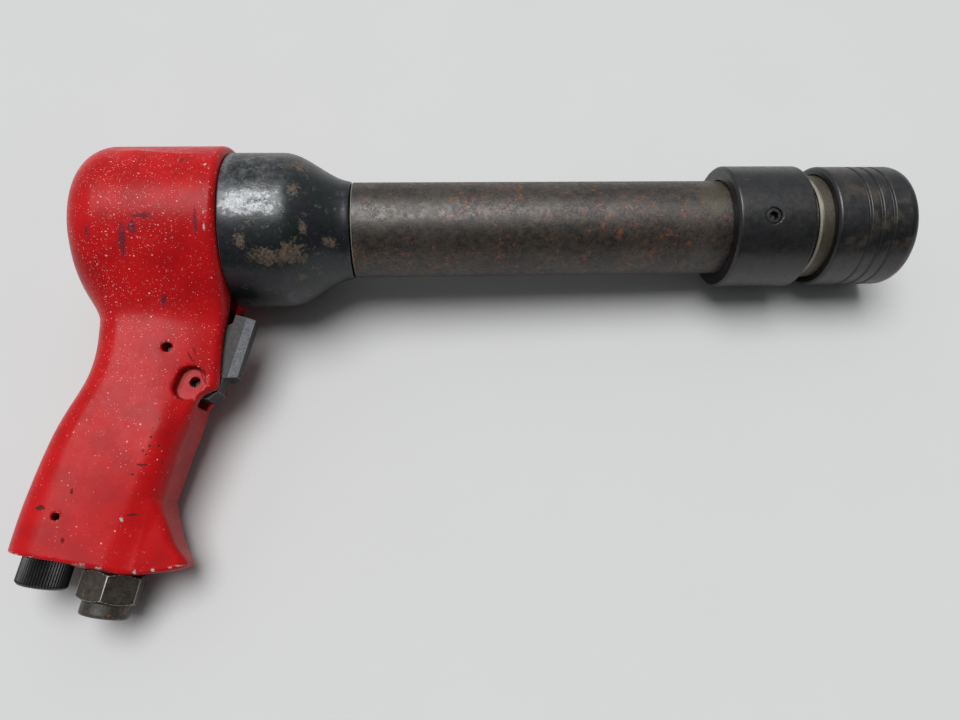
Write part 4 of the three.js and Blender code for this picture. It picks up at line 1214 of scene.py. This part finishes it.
def make_springs():
    low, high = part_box("sleeve_spring")
    rear, front = ((corner.x - ORIGIN[0]) / MM for corner in (low, high))
    outer = (high.y - low.y) / 2 / MM
    wire = 0.6
    make_spring(
        "sleeve_return_spring", "sleeve_spring", np.zeros(3), ALONG_BARREL, rear, front - 0.1,
        outer - wire - 0.05, wire, 4.5,
    )
    make_spring(
        "throttle_return_spring", "throttle_spring", grip_point(THROTTLE_DOWN, 0), SIDE, -79.6, -70.6,
        3.4, 0.5, 5,
    )


make_handle()
make_springs()
make_bell()
make_barrel()
make_collar()
make_retainer()
make_sleeve()
make_trigger()
make_pins()
make_knob()
make_inlet()

# ---- the CAD nodes that stay take their slot's finish ----
for part in frame["record"]["subparts"]:
    node = frame["nodes"][part["node"]]
    node.data.materials.clear()
    node.data.materials.append(FINISH[part["material_slot"]])
    if not node.hide_render:
        node.data.shade_smooth()
        node.data.set_sharp_from_angle(angle=math.radians(35))


# ---- floor, light and camera ----
def resting_plane():
    """Height and slopes of the floor under the tool: it lies on its head's rim, the sleeve and the
    side of the grip's foot."""
    low_points = []
    for name in ("handle_casting", "fluted_regulator_knob", "inlet_hex_bushing"):
        mesh = bpy.data.objects[name].data
        points = np.empty(len(mesh.vertices) * 3, np.float32)
        mesh.vertices.foreach_get("co", points)
        points = (points.reshape(-1, 3) - ORIGIN) / MM
        low_points.append(points[points[:, 1] < FOOT_TOP])
    x, y, z = np.vstack(low_points).T
    slope_x = slope_y = 0.0
    for _ in range(30):
        lift = math.sqrt(1 + slope_y**2)
        head = (HEAD_FRONT - 2, -HEAD_FRONT_R * lift)
        tip = (SLEEVE_FRONT - 3, -SLEEVE_R * lift)
        slope_x = (tip[1] - head[1]) / (tip[0] - head[0])
        height = head[1] - slope_x * head[0]
        slope_y = float(np.max((z - height - slope_x * x) / y))
    return height, slope_x, slope_y


def make_floor():
    height, slope_x, slope_y = resting_plane()
    corners = [
        (FLOOR_REACH * x, FLOOR_REACH * y, height - FLOOR_GAP + FLOOR_REACH * (slope_x * x + slope_y * y))
        for x, y in ((-1, -1), (1, -1), (1, 1), (-1, 1))
    ]
    floor = skin("floor", corners, [(0, 1, 2, 3)])
    p = Paint("floor_paper")
    light, dark = (FLOOR_SHADE,) * 3, (0.97 * FLOOR_SHADE,) * 3
    p.set(Base_Color=p.mix(p.noise(60, 3), light, dark), Roughness=0.8)
    floor.data.materials.append(p.material)


def make_light():
    """One wide soft light overhead, and a dim sky that is brighter on the side the barrel's top faces."""
    lamp = bpy.data.lights.new("overhead", "SUN")
    lamp.energy = OVERHEAD_POWER
    lamp.angle = OVERHEAD_SPREAD
    overhead = put("overhead", lamp)
    overhead.rotation_euler = Vector(OVERHEAD_SIDE).to_track_quat("Z", "Y").to_euler()
    world = bpy.data.worlds.new("studio")
    bpy.context.scene.world = world
    world.use_nodes = True
    tree = world.node_tree
    direction = tree.nodes.new("ShaderNodeTexCoord")
    toward = tree.nodes.new("ShaderNodeVectorMath")
    toward.operation = "DOT_PRODUCT"
    toward.inputs[1].default_value = SKY_BRIGHT_SIDE
    tree.links.new(direction.outputs["Generated"], toward.inputs[0])
    strength = tree.nodes.new("ShaderNodeMapRange")
    strength.interpolation_type = "SMOOTHSTEP"
    limits = (("From Min", -0.4), ("From Max", 0.9), ("To Min", SKY_DIM), ("To Max", SKY_BRIGHT))
    for name, value in limits:
        strength.inputs[name].default_value = value
    tree.links.new(toward.outputs["Value"], strength.inputs["Value"])
    background = tree.nodes["Background"]
    background.inputs["Color"].default_value = (0.95, 0.98, 1.0, 1)
    tree.links.new(strength.outputs["Result"], background.inputs["Strength"])


def make_camera():
    camera = bpy.data.cameras.new("camera")
    camera.sensor_width = 36
    camera.lens = CAMERA_LENS
    made = put("camera", camera)
    place = ORIGIN + MM * np.array(CAMERA_PLACE)
    turn = Matrix.Identity(3)
    for angle, axis in zip(CAMERA_TURNS, "XYZ"):
        turn = turn @ Matrix.Rotation(angle, 3, axis)
    made.matrix_world = Matrix.Translation(place) @ turn.transposed().to_4x4()
    bpy.context.scene.camera = made


make_floor()
make_light()
make_camera()
bpy.context.scene.view_settings.view_transform = "Standard"
